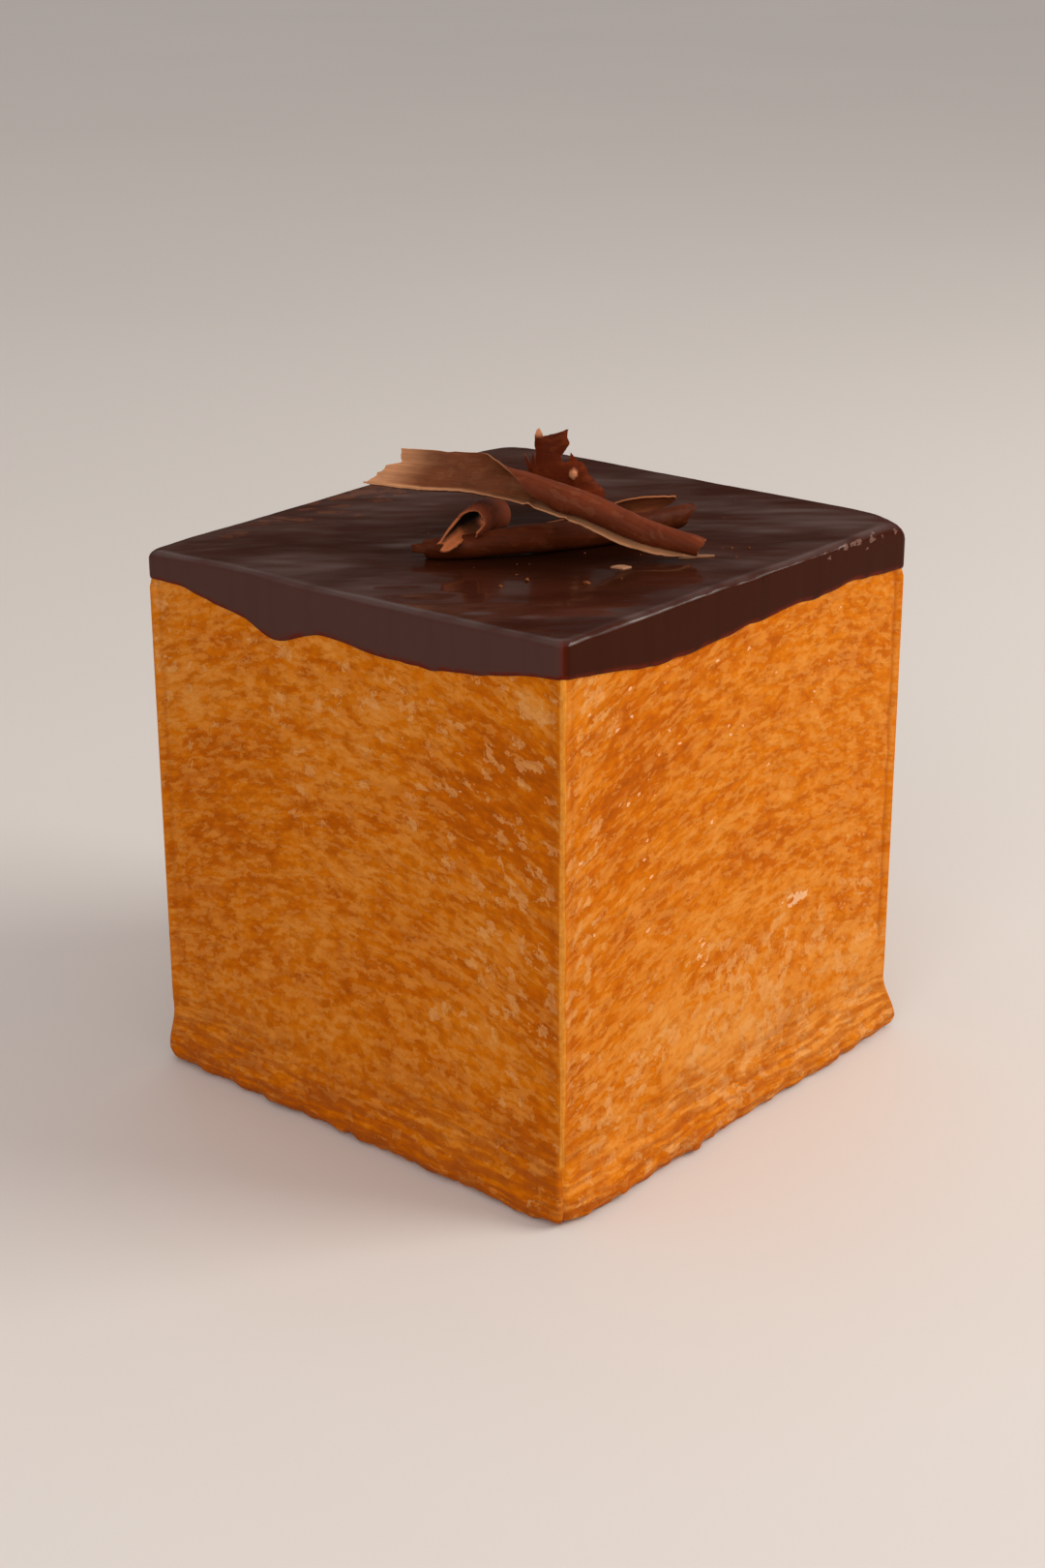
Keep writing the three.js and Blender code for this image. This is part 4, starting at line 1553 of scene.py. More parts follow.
@dataclass
class Sheet:
    """A thin closed sheet of shaved chocolate. Subclasses give its cells and its middle surface."""

    cube: Cube
    name: str
    node: str
    finish: ShavedFinish
    seed: float = 0.0
    thickness: float = 0.5
    rim_share: float = 0.5
    chatter: float = 0.03
    inner_face_first: bool = True

    def cells(self) -> tuple[Array, Array, Array, Array]:
        """Cuts the sheet into faces.

        Returns:
            The two coordinates of each point, the faces, and each point's share of full thickness.
        """
        raise NotImplementedError

    def surface(self, u: Array, v: Array) -> Array:
        """Points of the middle surface."""
        raise NotImplementedError

    def flat(self, u: Array, v: Array) -> Array:
        """Places on the sheet before it was rolled, in millimetres."""
        raise NotImplementedError

    def fades(self, u: Array, v: Array) -> Array:
        """How far each place has the tip's colour."""
        return np.zeros_like(u)

    def normals(self, u: Array, v: Array) -> Array:
        """Unit normals of the middle surface.

        Args:
            u: Shares of the sheet's length.
            v: Shares of the sheet's width.

        Returns:
            One normal for each point.
        """
        step = 1e-3
        along = self.surface(u + step, v) - self.surface(u - step, v)
        across = self.surface(u, v + step) - self.surface(u, v - step)
        normal = np.cross(along, across)
        return normal / np.maximum(np.linalg.norm(normal, axis=-1, keepdims=True), 1e-9)

    def build(self, effects: Effects) -> None:
        """Makes the sheet and puts it in place of its solid.

        Args:
            effects: The shared node groups.
        """
        u, v, faces, inside = self.cells()
        middle, normal, flat = self.surface(u, v), self.normals(u, v), self.flat(u, v)
        half = self.thickness / 2 * lerp(self.rim_share, 1, inside)
        ridges = layered(flat[:, 0] / 1.4, flat[:, 1] / 6, Pattern.SHAVING_RIDGES + self.seed)
        ridges = ridges + ripple(flat[:, 0] / 0.7, flat[:, 1] / 2.5, Pattern.SHAVING_SWAY)
        sway = self.chatter * ridges
        points = np.concatenate([middle + normal * (sway + side * half)[:, None] for side in (1, -1)])
        count = len(u)
        edges = {tuple(edge) for face in faces for edge in zip(face, np.roll(face, -1))}
        rim = np.array([(a, b) for a, b in edges if (b, a) not in edges])
        rim = rim[np.lexsort((rim[:, 1], rim[:, 0]))]
        wall = np.column_stack([rim[:, 1], rim[:, 0], rim[:, 0] + count, rim[:, 1] + count])
        groups = [faces, faces[:, ::-1] + count, wall]
        inner = (1.0, 0.0) if self.inner_face_first else (0.0, 1.0)
        sizes = [group.size for group in groups]
        side = np.repeat([*inner, 0.5], sizes)
        broken = np.repeat([0.0, 0.0, 1.0], sizes)
        corner = np.concatenate([group.reshape(-1) for group in groups]) % count
        apart = np.full(len(corner), self.seed * 13)
        values = {
            "sheet": np.column_stack([flat[corner], apart]),
            "fade": np.column_stack([side, broken, self.fades(u, v)[corner]]),
        }
        piece = make_piece(self.name, points, [face for group in groups for face in group.tolist()], values)
        finish_piece(piece, self.finish.material(effects), "chocolate_curl", self.node)


@dataclass
class RolledShaving(Sheet):
    """A sheet rolled round a path.

    A section gives the path's point over the glaze, the angles of the sheet's first and last edge,
    the roll's radius and how much further out the first edge stands. 0 degrees is level with the
    path's left side as it runs, and 90 is over it.
    """

    sections: tuple = ()
    steps: tuple[int, int] = (220, 64)
    path_is_first_edge: bool = False
    flare_power: float = 3.0
    edge_wear: float = 0.03

    def __post_init__(self) -> None:
        """Spaces the sections by their distances."""
        rows = np.array(self.sections, float)
        gaps = np.linalg.norm(np.diff(rows[:, :3], axis=0), axis=1)
        self.length = gaps.sum()
        places = np.concatenate([[0], np.cumsum(gaps)]) / self.length
        self.rows = np.column_stack([places, rows])

    def cells(self) -> tuple[Array, Array, Array, Array]:
        """Cuts the sheet into a grid of quads.

        Returns:
            As for any sheet.
        """
        rows, columns = self.steps
        u, v = np.meshgrid(np.linspace(0, 1, rows + 1), np.linspace(0, 1, columns + 1), indexing="ij")
        number = np.arange(u.size).reshape(u.shape)
        corners = [number[:-1, :-1], number[1:, :-1], number[1:, 1:], number[:-1, 1:]]
        inside = smooth(np.minimum(v, 1 - v), 0, 0.1) * smooth(np.minimum(u, 1 - u), 0, 0.03)
        return u.ravel(), v.ravel(), np.stack(corners, -1).reshape(-1, 4), inside.ravel()

    def torn_ends(self, v: Array) -> tuple[Array, Array]:
        """Where the two torn ends lie along the path."""
        return 0.0 * v, 1.0 + 0.0 * v

    def worn_edges(self, place: Array) -> tuple[Array, Array]:
        """How far the two long edges are drawn in, as shares of the width.

        Args:
            place: Places along the path, 0 to 1.

        Returns:
            The first edge and the last one.
        """
        first = layered(place * 17, 0, Pattern.FIRST_EDGE + self.seed)
        last = layered(place * 19, 0, Pattern.LAST_EDGE + self.seed)
        return self.edge_wear * np.maximum(first, 0), self.edge_wear * np.maximum(last, 0)

    def on_sheet(self, u: Array, v: Array) -> tuple[Array, Array]:
        """The place along the path and the share of the width.

        Args:
            u: Shares of the sheet's length.
            v: Shares of the sheet's width.

        Returns:
            The place and the share.
        """
        start, end = self.torn_ends(v)
        place = lerp(start, end, u)
        first, last = self.worn_edges(place)
        return place, lerp(first, 1 - last, v)

    def flat(self, u: Array, v: Array) -> Array:
        """Places on the sheet before it was rolled, in millimetres.

        Args:
            u: Shares of the sheet's length.
            v: Shares of the sheet's width.

        Returns:
            Two coordinates for each point.
        """
        place, share = self.on_sheet(u, v)
        first, last, radius, _ = run_through(place, self.rows)[..., 3:].T
        return np.column_stack([place * self.length, share * radius * np.radians(np.abs(last - first))])

    def surface(self, u: Array, v: Array) -> Array:
        """Points of the rolled middle surface.

        Args:
            u: Shares of the sheet's length.
            v: Shares of the sheet's width.

        Returns:
            One point for each pair of shares.
        """
        place, share = self.on_sheet(u, v)
        step = 1e-3
        row = run_through(place, self.rows)
        ahead = run_through(place + step, self.rows) - run_through(place - step, self.rows)
        tangent = ahead[:, :3] / np.linalg.norm(ahead[:, :3], axis=-1, keepdims=True)
        side = np.cross(tangent, (0.0, 0.0, 1.0))
        side /= np.linalg.norm(side, axis=-1, keepdims=True)
        lift = np.cross(side, tangent)
        first, last, radius, flare = row[:, 3:].T

        def around(degrees: Array, distance: Array) -> Array:
            """The step from the path to a place round it."""
            angle = np.radians(degrees)
            return side * (distance * np.cos(angle))[:, None] + lift * (distance * np.sin(angle))[:, None]

        point = row[:, :3].copy()
        point[:, 2] += self.cube.glaze_top(point[:, 0], point[:, 1])
        if self.path_is_first_edge:
            point -= around(first, radius * flare)
        lip = 1 + (flare - 1) * (1 - np.clip(share, 0, 1)) ** self.flare_power
        return point + around(lerp(first, last, share), radius * lip)


class LongShaving(RolledShaving):
    """The long shaving on top: an open trough at its left end, a tube at its right end."""

    STEPPED_END = (
        (0, 0.3, 0.5, 0.56, 0.68, 0.72, 0.76, 1),
        (0, 0.006, 0.012, 0.026, 0.03, 0.05, 0.072, 0.07),
    )
    TUBE_END = ((0, 0.03, 0.1, 0.3, 0.6, 1), (0.925, 0.945, 0.955, 0.975, 1.0, 0.985))

    def torn_ends(self, v: Array) -> tuple[Array, Array]:
        """A left end broken in steps, and a right end whose lower lip is shorter than the tube."""
        teeth = 0.006 * layered(v * 13, 0, Pattern.LONG_ENDS)
        return np.interp(v, *self.STEPPED_END) + teeth, np.interp(v, *self.TUBE_END) + teeth

    def worn_edges(self, place: Array) -> tuple[Array, Array]:
        """Worn edges with a torn bit of the lower edge, and one where the roll closes.

        Args:
            place: Places along the path, 0 to 1.

        Returns:
            The first edge and the last one.
        """
        first, last = super().worn_edges(place)
        first = first - 0.06 * bell(place - 0.49, 0.012) - 0.03 * bell(place - 0.6, 0.008)
        last = last - 0.07 * (smooth(place, 0.54, 0.565) - smooth(place, 0.6, 0.606))
        return first, last

    def fades(self, u: Array, v: Array) -> Array:
        """Paler towards the left tip, and along the lower edge: partly the pale inner face, partly painted
        light where the roll above shades that strip.
        """
        # Painted light in part: the lower edge is made paler where the roll shades it.
        lower_edge = (1 - smooth(v, 0.05, 0.26)) * (1 - 0.75 * bell(u - 0.42, 0.12))
        return np.clip(1 - smooth(u, 0.0, 0.16) + lower_edge, 0, 1)


class LowerShaving(RolledShaving):
    """The tube on the glaze, with a flap at its left end and its first edge standing up behind."""

    JAGGED_END = (
        (0, 0.1, 0.2, 0.35, 0.55, 0.75, 0.9, 1),
        (0.94, 0.95, 0.9, 0.88, 0.91, 0.94, 0.978, 0.965),
    )

    def torn_ends(self, v: Array) -> tuple[Array, Array]:
        """A small flap left of the tube, and a jagged right end.

        Args:
            v: Shares of the sheet's width.

        Returns:
            The left end and the right one.
        """
        teeth = 0.012 * layered(v * 14, 0, Pattern.LOWER_ENDS)
        flap = smooth(v, 0.6, 0.63) - smooth(v, 0.78, 0.82)
        return 0.04 - 0.04 * flap + teeth * 0.4, np.interp(v, *self.JAGGED_END) + teeth

    def fades(self, u: Array, v: Array) -> Array:
        """Paler at the open right end."""
        return smooth(u, 0.62, 0.95)


class ShortShaving(RolledShaving):
    """The short wide roll with its mouth to the front and a jagged tongue below it."""

    MOUTH = (
        (0, 0.05, 0.1, 0.15, 0.2, 0.27, 0.34, 0.6, 0.8, 0.88, 1),
        (0.8, 0.97, 1.0, 0.9, 1.0, 0.78, 0.58, 0.5, 0.5, 0.66, 0.6),
    )

    def torn_ends(self, v: Array) -> tuple[Array, Array]:
        """A forked tongue at the lower edge, and a mouth with broken corners."""
        teeth = 0.03 * layered(v * 12, 0, Pattern.SHORT_ENDS)
        return 0 * v, np.interp(v, *self.MOUTH) + teeth

    def fades(self, u: Array, v: Array) -> Array:
        """Paler towards the mouth and along the tongue."""
        return np.clip(0.8 * smooth(u, 0.93, 1.0) + 1 - smooth(v, 0.12, 0.24), 0, 1)


@dataclass
class CutShard(Sheet):
    """A sheet cut to an outline, given in millimetres across and up from its foot."""

    outline: tuple = ()
    spacing: float = 0.3
    rim_torn: float = 0.09
    tear_length: float = 0.6
    rim_width: float = 0.8

    def cells(self) -> tuple[Array, Array, Array, Array]:
        """Cuts the outline into triangles with a slightly torn rim.

        Returns:
            As for any sheet.
        """
        corners = np.array(self.outline)
        ahead = np.roll(corners, -1, axis=0)
        rim = []
        for a, b in zip(corners, ahead):
            count = max(1, round(float(np.linalg.norm(b - a)) / self.spacing))
            rim.append(lerp(a, b, np.arange(count)[:, None] / count))
        rim = np.concatenate(rim)
        place = rim.sum(axis=1) / self.tear_length
        torn = [layered(place, 0, pattern) for pattern in (Pattern.SHARD_RIM_X, Pattern.SHARD_RIM_Y)]
        rim = rim + self.rim_torn * np.column_stack(torn)
        low, high = rim.min(axis=0), rim.max(axis=0)
        x, y = np.meshgrid(*(np.arange(low[k], high[k], self.spacing) for k in (0, 1)))
        inner = np.column_stack([x.ravel(), y.ravel()])
        gap = np.linalg.norm(inner[:, None] - rim[None], axis=-1).min(axis=1)
        inner = inner[gap > self.spacing * 0.6]
        spots = [Vector(spot) for spot in np.concatenate([rim, inner]).tolist()]
        spots, _, faces, *_ = delaunay_2d_cdt(spots, [], [list(range(len(rim)))], 1, 1e-5)
        places = np.array([tuple(spot) for spot in spots])
        gap = np.linalg.norm(places[:, None] - rim[None], axis=-1).min(axis=1)
        return places[:, 0], places[:, 1], np.array(faces), smooth(gap, 0, self.rim_width)

    def flat(self, u: Array, v: Array) -> Array:
        """Places on the sheet, in millimetres."""
        return np.column_stack([u, v])


@dataclass
class UprightShard(CutShard):
    """The shard standing on edge behind the heap, bowed, with a curled tip and a torn hole."""

    foot: tuple[float, float, float] = (0.2, -0.6, 0.6)
    lean: tuple[float, float, float] = (-0.05, 0.2, 1.0)
    across: tuple[float, float, float] = (0.76, 0.65, 0.0)
    out: tuple[float, float, float] = (0.65, -0.76, 0.0)
    bow_width: float = 10.8
    flap: tuple[float, float] = (5.7, 8.1)
    flap_size: tuple[float, float] = (0.42, 0.75)

    def flap_share(self, x: Array, y: Array) -> Array:
        """How near each place is to the middle of the small raised flap."""
        (x0, y0), (wide, high) = self.flap, self.flap_size
        return np.exp(-(((x - x0) / wide) ** 2) - ((y - y0) / high) ** 2)

    def surface(self, x: Array, y: Array) -> Array:
        """Points of the bowed and creased middle surface.

        Args:
            x: Places across the shard, in millimetres.
            y: Heights up the shard, in millimetres.

        Returns:
            One point for each place.
        """
        foot = np.array(self.foot)
        foot[2] += self.cube.glaze_top(foot[0], foot[1])
        bow = 0.8 * np.sin(np.pi * np.clip(x / self.bow_width, -0.2, 1)) + 0.04 * y
        crease = 0.35 * np.maximum(x - 7.6 + 0.25 * y, 0)
        curl = 0.35 * np.maximum(1.2 - x, 0) * smooth(y, 11.5, 14)
        raised = 0.45 * self.flap_share(x, y)
        return (
            foot
            + np.array(self.lean) * y[:, None]
            + np.array(self.across) * x[:, None]
            + np.array(self.out) * (bow - crease + curl + raised)[:, None]
        )

    def fades(self, x: Array, y: Array) -> Array:
        """Paler at the curled tip and on the flap."""
        tip = smooth(y, 13.2, 13.9) * (1 - smooth(x, 0.6, 1.0))
        return np.clip(tip + smooth(self.flap_share(x, y), 0.35, 0.6), 0, 1)


LONG_CHOCOLATE = ShavedFinish(
    "long_shaving_chocolate", srgb(99, 43, 22), srgb(106, 58, 34), srgb(186, 130, 92), srgb(184, 128, 90)
)
LOWER_CHOCOLATE = ShavedFinish(
    "lower_shaving_chocolate", srgb(72, 28, 9), srgb(90, 48, 30), srgb(150, 92, 58), srgb(116, 60, 34)
)
# The short roll's inner face is near black: painted shade inside the roll.
SHORT_CHOCOLATE = ShavedFinish(
    "short_shaving_chocolate", srgb(96, 44, 26), srgb(20, 8, 5), srgb(146, 82, 50), srgb(148, 80, 46)
)
SHARD_CHOCOLATE = ShavedFinish(
    "shard_chocolate", srgb(90, 30, 5), srgb(90, 30, 5), srgb(200, 104, 44), srgb(200, 130, 92)
)
SCRAP_CHOCOLATE = ShavedFinish(
    "scrap_chocolate", srgb(150, 104, 78), srgb(150, 104, 78), srgb(190, 140, 104), srgb(158, 112, 84)
)
CRUMB_CHOCOLATE = ShavedFinish(
    "crumb_chocolate", srgb(104, 56, 30), srgb(104, 56, 30), srgb(160, 104, 70), srgb(120, 66, 34)
)


def all_shavings(cube: Cube) -> list[Sheet]:
    """The heap's four shavings.

    Args:
        cube: The cube's sizes.

    Returns:
        The shavings, from the top of the heap down.
    """
    long_sections = (
        (-14.7, -20.7, 9.6, 290, 182, 4.4, 1.0),
        (-7.2, -17.6, 9.15, 290, 176, 4.4, 1.0),
        (0.6, -14.4, 9.05, 292, 172, 4.2, 1.0),
        (2.2, -13.7, 8.8, 293, 150, 3.1, 1.0),
        (3.9, -12.9, 8.5, 294, 110, 2.35, 1.0),
        (7.3, -11.2, 7.75, 300, 20, 2.1, 1.1),
        (15.6, -7.6, 5.1, 310, -46, 1.85, 1.55),
        (22.3, -4.5, 2.1, 318, -56, 1.68, 1.9),
        (31.4, 0.3, 0.45, 322, -56, 1.3, 1.7),
    )
    lower_sections = (
        (-4.4, -21.5, 1.36, 150, 470, 1.15, 1.0),
        (2.2, -17.0, 1.8, 150, 470, 1.55, 1.0),
        (6.6, -11.7, 2.25, 145, 465, 1.9, 1.0),
        (11.2, -3.6, 2.25, 125, 455, 1.9, 1.3),
        (14.6, 6.5, 2.2, 108, 430, 1.85, 2.0),
        (17.2, 17.5, 2.3, 106, 415, 1.95, 1.15),
    )
    short_sections = (
        (0.1, -8.4, 4.2, -80, 235, 2.4, 1.0),
        (1.3, -12.5, 4.8, -80, 235, 2.3, 1.0),
        (2.7, -17.2, 4.9, -80, 235, 1.95, 1.0),
        (4.5, -23.7, 4.0, -80, 235, 1.9, 1.0),
    )
    shard_outline = (
        (4.6, -0.5), (10.6, -0.5), (10.8, 4.6), (10.6, 5.1), (9.7, 6.0), (8.7, 7.1),
        (8.0, 7.8), (7.7, 8.7), (6.9, 9.7), (6.3, 9.8), (5.6, 10.6), (5.1, 11.2),
        (4.9, 9.9), (4.4, 9.7), (3.9, 9.9), (3.7, 10.7), (4.3, 11.6), (4.7, 12.5),
        (4.3, 13.5), (4.4, 14.6), (2.0, 13.8), (0.8, 13.5), (0.6, 13.9), (0.1, 14.7),
        (-0.3, 14.4), (-0.5, 13.5), (-0.4, 12.1), (0.0, 11.2), (0.0, 9.4), (-0.5, 11.2),
        (-0.7, 9.3), (-1.8, 10.8), (-0.9, 8.2), (0.2, 6.8), (3.9, 3.2),
    )
    return [
        LongShaving(
            cube, "long_shaving", "curl_long", LONG_CHOCOLATE, 1, sections=long_sections,
            steps=(260, 90), path_is_first_edge=True, flare_power=18.0,
        ),
        LowerShaving(
            cube, "lower_shaving", "curl_under", LOWER_CHOCOLATE, 2, sections=lower_sections,
            inner_face_first=False,
        ),
        ShortShaving(
            cube, "short_shaving", "curl_short", SHORT_CHOCOLATE, 3, sections=short_sections,
            steps=(100, 96), inner_face_first=False,
        ),
        UprightShard(cube, "upright_shard", "curl_upright", SHARD_CHOCOLATE, 4, outline=shard_outline),
    ]


# ---------------------------------------------------------------- scraps and crumbs


@dataclass(frozen=True)
class Scrap:
    """One flat scrap: its corners in order, in millimetres, where it lies and how far it is turned."""

    name: str
    outline: tuple
    at: tuple[float, float]
    turn: float


@dataclass
class Scraps:
    """The pale flake and the splinter that lie stuck to the glaze."""

    cube: Cube
    proud: float = 0.28
    ragged: float = 0.06
    points_per_side: int = 6
    profile: tuple = ((0.0, -0.45), (0.0, 0.8), (0.05, 1.0), (0.3, 1.0), (0.7, 0.96))
    scraps: tuple[Scrap, ...] = (
        Scrap(
            "pale_flake", ((-1.4, -0.7), (0.8, -0.9), (1.4, 0.5), (0.2, 0.8), (-0.8, 0.5)), (23.6, -8.2), 12
        ),
        Scrap("splinter", ((-2.6, -0.5), (2.8, 0), (0.4, 0.45), (-2.4, 0.5)), (28.6, 2.9), 48),
    )

    def ring(self, scrap: Scrap) -> Array:
        """The scrap's ragged outline, turned and put in its place.

        Args:
            scrap: Its shape and place.

        Returns:
            Its corners and the points between them.
        """
        corners = np.array(scrap.outline)
        ahead = np.roll(corners, -1, axis=0)
        shares = np.linspace(0, 1, self.points_per_side, endpoint=False)[:, None]
        ring = np.concatenate([lerp(a, b, shares) for a, b in zip(corners, ahead)])
        ring *= 1 + self.ragged * layered(np.arange(len(ring)) / 2.5, 0, Pattern.SCRAP_RIM)[:, None]
        cos, sin = math.cos(math.radians(scrap.turn)), math.sin(math.radians(scrap.turn))
        x, y = ring.T
        return np.stack([x * cos - y * sin, x * sin + y * cos], -1) + scrap.at

    def make(self, scrap: Scrap) -> bpy.types.Object:
        """Makes one scrap.

        Args:
            scrap: Its shape and place.

        Returns:
            The piece.
        """
        ring = self.ring(scrap)
        middle = ring.mean(axis=0)
        rows = []
        for inset, up in self.profile:
            flat = lerp(ring, middle, inset)
            level = self.cube.glaze_top(flat[:, 0], flat[:, 1]) + self.proud * up
            rows.append(np.column_stack([flat, level]))
        count = len(ring)
        top = np.append(middle, self.cube.glaze_top(*middle) + self.proud * 0.95)
        base = np.append(middle, self.cube.glaze_top(*middle) - self.proud * 0.45)
        points = np.concatenate([*rows, [top, base]])
        faces = []
        for j in range(count):
            k = (j + 1) % count
            for row in range(len(rows) - 1):
                a, b = row * count, (row + 1) * count
                faces.append((a + j, a + k, b + k, b + j))
            faces.append((b + j, b + k, len(points) - 2))
            faces.append((k, j, len(points) - 1))
        corner_points = points[np.concatenate([np.array(face) for face in faces])]
        fade = np.tile([1.0, 0.0, 1.0], (len(corner_points), 1))
        return make_piece(scrap.name, points, faces, {"sheet": corner_points, "fade": fade})

    def build(self, finish: ShavedFinish, effects: Effects) -> None:
        """Makes both scraps.

        Args:
            finish: Their finish.
            effects: The shared node groups.
        """
        material = finish.material(effects)
        for scrap in self.scraps:
            finish_piece(self.make(scrap), material, "chocolate_curl", "chocolate_glaze")


@dataclass
class Crumbs:
    """Crumbs of chocolate on the glaze: a few in set places, the rest scattered near the heap."""

    cube: Cube
    placed: tuple = (
        (24.7, -17.3, 0.55),
        (17.1, -21.2, 0.5),
        (16.1, -25.7, 0.35),
        (29.6, 10.4, 0.3),
        (31.3, 12.2, 0.24),
        (28.4, 9.7, 0.18),
        (27.2, -12.6, 0.25),
    )
    scattered: int = 26
    seed: int = 11
    middle: tuple[float, float] = (10.0, -8.0)
    spread: float = 15.0
    edge_free: float = 2.0
    corners: int = 14
    flatness: float = 0.7

    def places(self) -> list[tuple[float, float, float]]:
        """Where the crumbs lie and how large they are.

        Returns:
            For each its x, y and radius.
        """
        draw = random.Random(self.seed)
        places = list(self.placed)
        while len(places) < len(self.placed) + self.scattered:
            x, y = (draw.gauss(centre, self.spread) for centre in self.middle)
            size = 0.1 + 0.16 * draw.random() ** 2
            if max(abs(x), abs(y)) < self.cube.half_x - self.edge_free:
                places.append((x, y, size))
        return places

    def build(self, finish: ShavedFinish, effects: Effects) -> None:
        """Makes all crumbs as one piece.

        Args:
            finish: Their finish.
            effects: The shared node groups.
        """
        draw = random.Random(self.seed + 1)
        points, faces = [], []
        for x, y, size in self.places():
            chip = bmesh.new()
            for _ in range(self.corners):
                spot = Vector([draw.gauss(0, 1) for _ in range(3)]).normalized()
                chip.verts.new(spot * size * draw.uniform(0.75, 1.1))
            result = bmesh.ops.convex_hull(chip, input=chip.verts)
            bmesh.ops.delete(chip, geom=result["geom_interior"], context="VERTS")
            chip.verts.index_update()
            level = float(self.cube.glaze_top(x, y)) + size * 0.35
            start = len(points)
            points += [(v.co.x + x, v.co.y + y, v.co.z * self.flatness + level) for v in chip.verts]
            faces += [tuple(v.index + start for v in face.verts) for face in chip.faces]
            chip.free()
        points = np.array(points)
        corner_points = points[np.concatenate([np.array(face) for face in faces])]
        fade = np.tile([1.0, 0.0, 0.6], (len(corner_points), 1))
        piece = make_piece("chocolate_crumbs", points, faces, {"sheet": corner_points * 3, "fade": fade})
        finish_piece(piece, finish.material(effects), "chocolate_curl")


# ---------------------------------------------------------------- the studio


@dataclass(frozen=True)
class Lamp:
    """A square soft lamp: where it hangs and its side in metres, its power in watts and its colour."""

    name: str
    place: tuple[float, float, float]
    side: float
    power: float
    colour: Colour

    def build(self, looks_at: Vector) -> None:
        """Hangs the lamp so that it looks at a point.

        Args:
            looks_at: The point, in metres.
        """
        data = bpy.data.lights.new(self.name, "AREA")
        data.shape = "SQUARE"
        data.size = self.side
        data.energy = self.power
        data.color = self.colour
        lamp = bpy.data.objects.new(self.name, data)
        lamp.location = self.place
        lamp.rotation_mode = "QUATERNION"
        lamp.rotation_quaternion = (looks_at - Vector(self.place)).to_track_quat("-Z", "Y")
        bpy.context.scene.collection.objects.link(lamp)


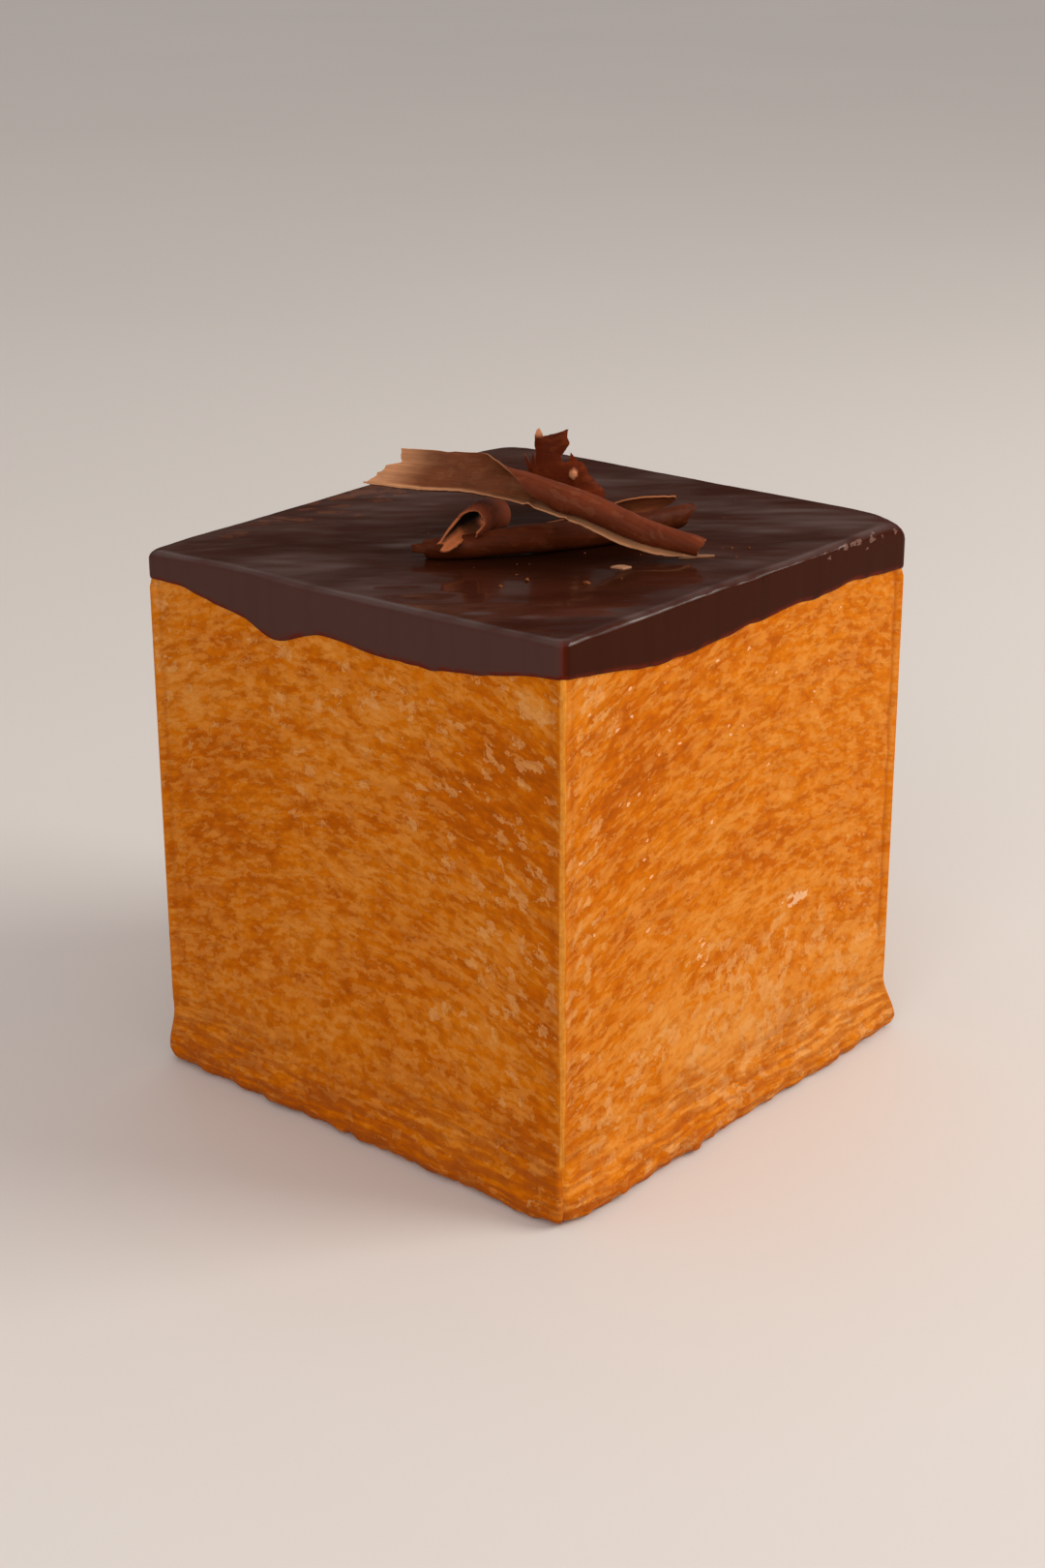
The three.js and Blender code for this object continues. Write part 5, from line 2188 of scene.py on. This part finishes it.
@dataclass(frozen=True)
class Studio:
    """A plain pale floor under soft light, brightest from behind on the right."""

    lamps: tuple[Lamp, ...] = (
        Lamp("key", (0.66, 0.52, 0.50), 0.55, 7.4, (1.0, 0.965, 0.88)),
        Lamp("fill", (0.52, -0.98, 0.46), 0.8, 5.6, (1.0, 0.98, 0.96)),
    )
    lit_point: tuple[float, float, float] = (0.0, 0.0, 0.045)
    floor_half: float = 9.0
    floor_colour: Colour = srgb(218, 212, 208)
    sky_low: Colour = srgb(64, 55, 51)
    sky_high: Colour = srgb(222, 217, 213)
    sky_strength: float = 1.0

    def build(self) -> None:
        """Makes the floor, the sky and the lamps."""
        self.floor()
        self.sky()
        for lamp in self.lamps:
            lamp.build(Vector(self.lit_point))
        log.info("studio")

    def floor(self) -> None:
        """Lays the floor."""
        mesh = bpy.data.meshes.new("floor")
        half = self.floor_half
        corners = [(-half, -half, 0), (half, -half, 0), (half, half, 0), (-half, half, 0)]
        mesh.from_pydata(corners, [], [(0, 1, 2, 3)])
        floor = bpy.data.objects.new("floor", mesh)
        bpy.context.scene.collection.objects.link(floor)
        nodes, shader, material = new_material("pale_floor", Roughness=0.55, Specular_IOR_Level=0.3)
        place = nodes.millimetres()
        mottle = nodes.noise(nodes.vector("MULTIPLY", place, (0.004,) * 3), 3.0)
        darker = tuple(channel * 0.94 for channel in self.floor_colour)
        nodes.feed(shader.inputs["Base Color"], nodes.mix(mottle, self.floor_colour, darker))
        mesh.materials.append(material)

    def sky(self) -> None:
        """Lights the scene all round, brighter overhead than near the floor."""
        world = bpy.data.worlds.new("studio")
        bpy.context.scene.world = world
        world.use_nodes = True
        nodes = Nodes(world.node_tree)
        direction = nodes.add("ShaderNodeTexCoord").outputs["Generated"]
        up = nodes.add("ShaderNodeSeparateXYZ", {0: direction}).outputs[2]
        colour = nodes.mix(nodes.between(up, 0.18, 0.65), self.sky_low, self.sky_high)
        background = world.node_tree.nodes["Background"]
        nodes.feed(background.inputs["Color"], colour)
        nodes.feed(background.inputs["Strength"], self.sky_strength)


@dataclass(frozen=True)
class PictureCamera:
    """The camera, fitted to the cube's edges in a picture of 1080 by 1620 pixels."""

    azimuth: float = 40.461
    elevation: float = 20.536
    roll: float = -0.219
    distance: float = 399.4
    target: tuple[float, float, float] = (-1.14, -0.98, 44.48)
    focal_pixels: float = 2650.0
    picture_height: float = 1620.0
    sensor: float = 36.0

    def build(self) -> None:
        """Makes the camera and sets it as the scene's."""
        a, e, roll = (math.radians(angle) for angle in (self.azimuth, self.elevation, self.roll))
        back = Vector((math.sin(a) * math.cos(e), -math.cos(a) * math.cos(e), math.sin(e)))
        level_right = Vector((math.cos(a), math.sin(a), 0))
        level_up = back.cross(level_right)
        right = level_right * math.cos(roll) + level_up * math.sin(roll)
        up = level_up * math.cos(roll) - level_right * math.sin(roll)
        data = bpy.data.cameras.new("camera")
        data.sensor_width = self.sensor
        data.lens = self.focal_pixels / self.picture_height * self.sensor
        data.clip_start, data.clip_end = 0.01, 50.0
        camera = bpy.data.objects.new("camera", data)
        turn = Matrix((right, up, back)).transposed().to_4x4()
        camera.matrix_world = Matrix.Translation((Vector(self.target) + back * self.distance) * MM) @ turn
        bpy.context.scene.collection.objects.link(camera)
        bpy.context.scene.camera = camera
        log.info("camera")


def main() -> None:
    """Builds the cube, its heap and the studio in order."""
    logging.basicConfig(level=logging.INFO, format="%(name)s: %(message)s")
    bpy.context.scene.view_settings.view_transform = "Standard"
    PictureCamera().build()
    Studio().build()
    effects = Effects()
    cube = Cube()
    LaminatedCrust(cube).build(CrustFinish(), effects)
    GlazeCap(cube).build(GlazeFinish(), effects)
    for shaving in all_shavings(cube):
        shaving.build(effects)
    Scraps(cube).build(SCRAP_CHOCOLATE, effects)
    Crumbs(cube).build(CRUMB_CHOCOLATE, effects)


if __name__ == "__main__":
    main()
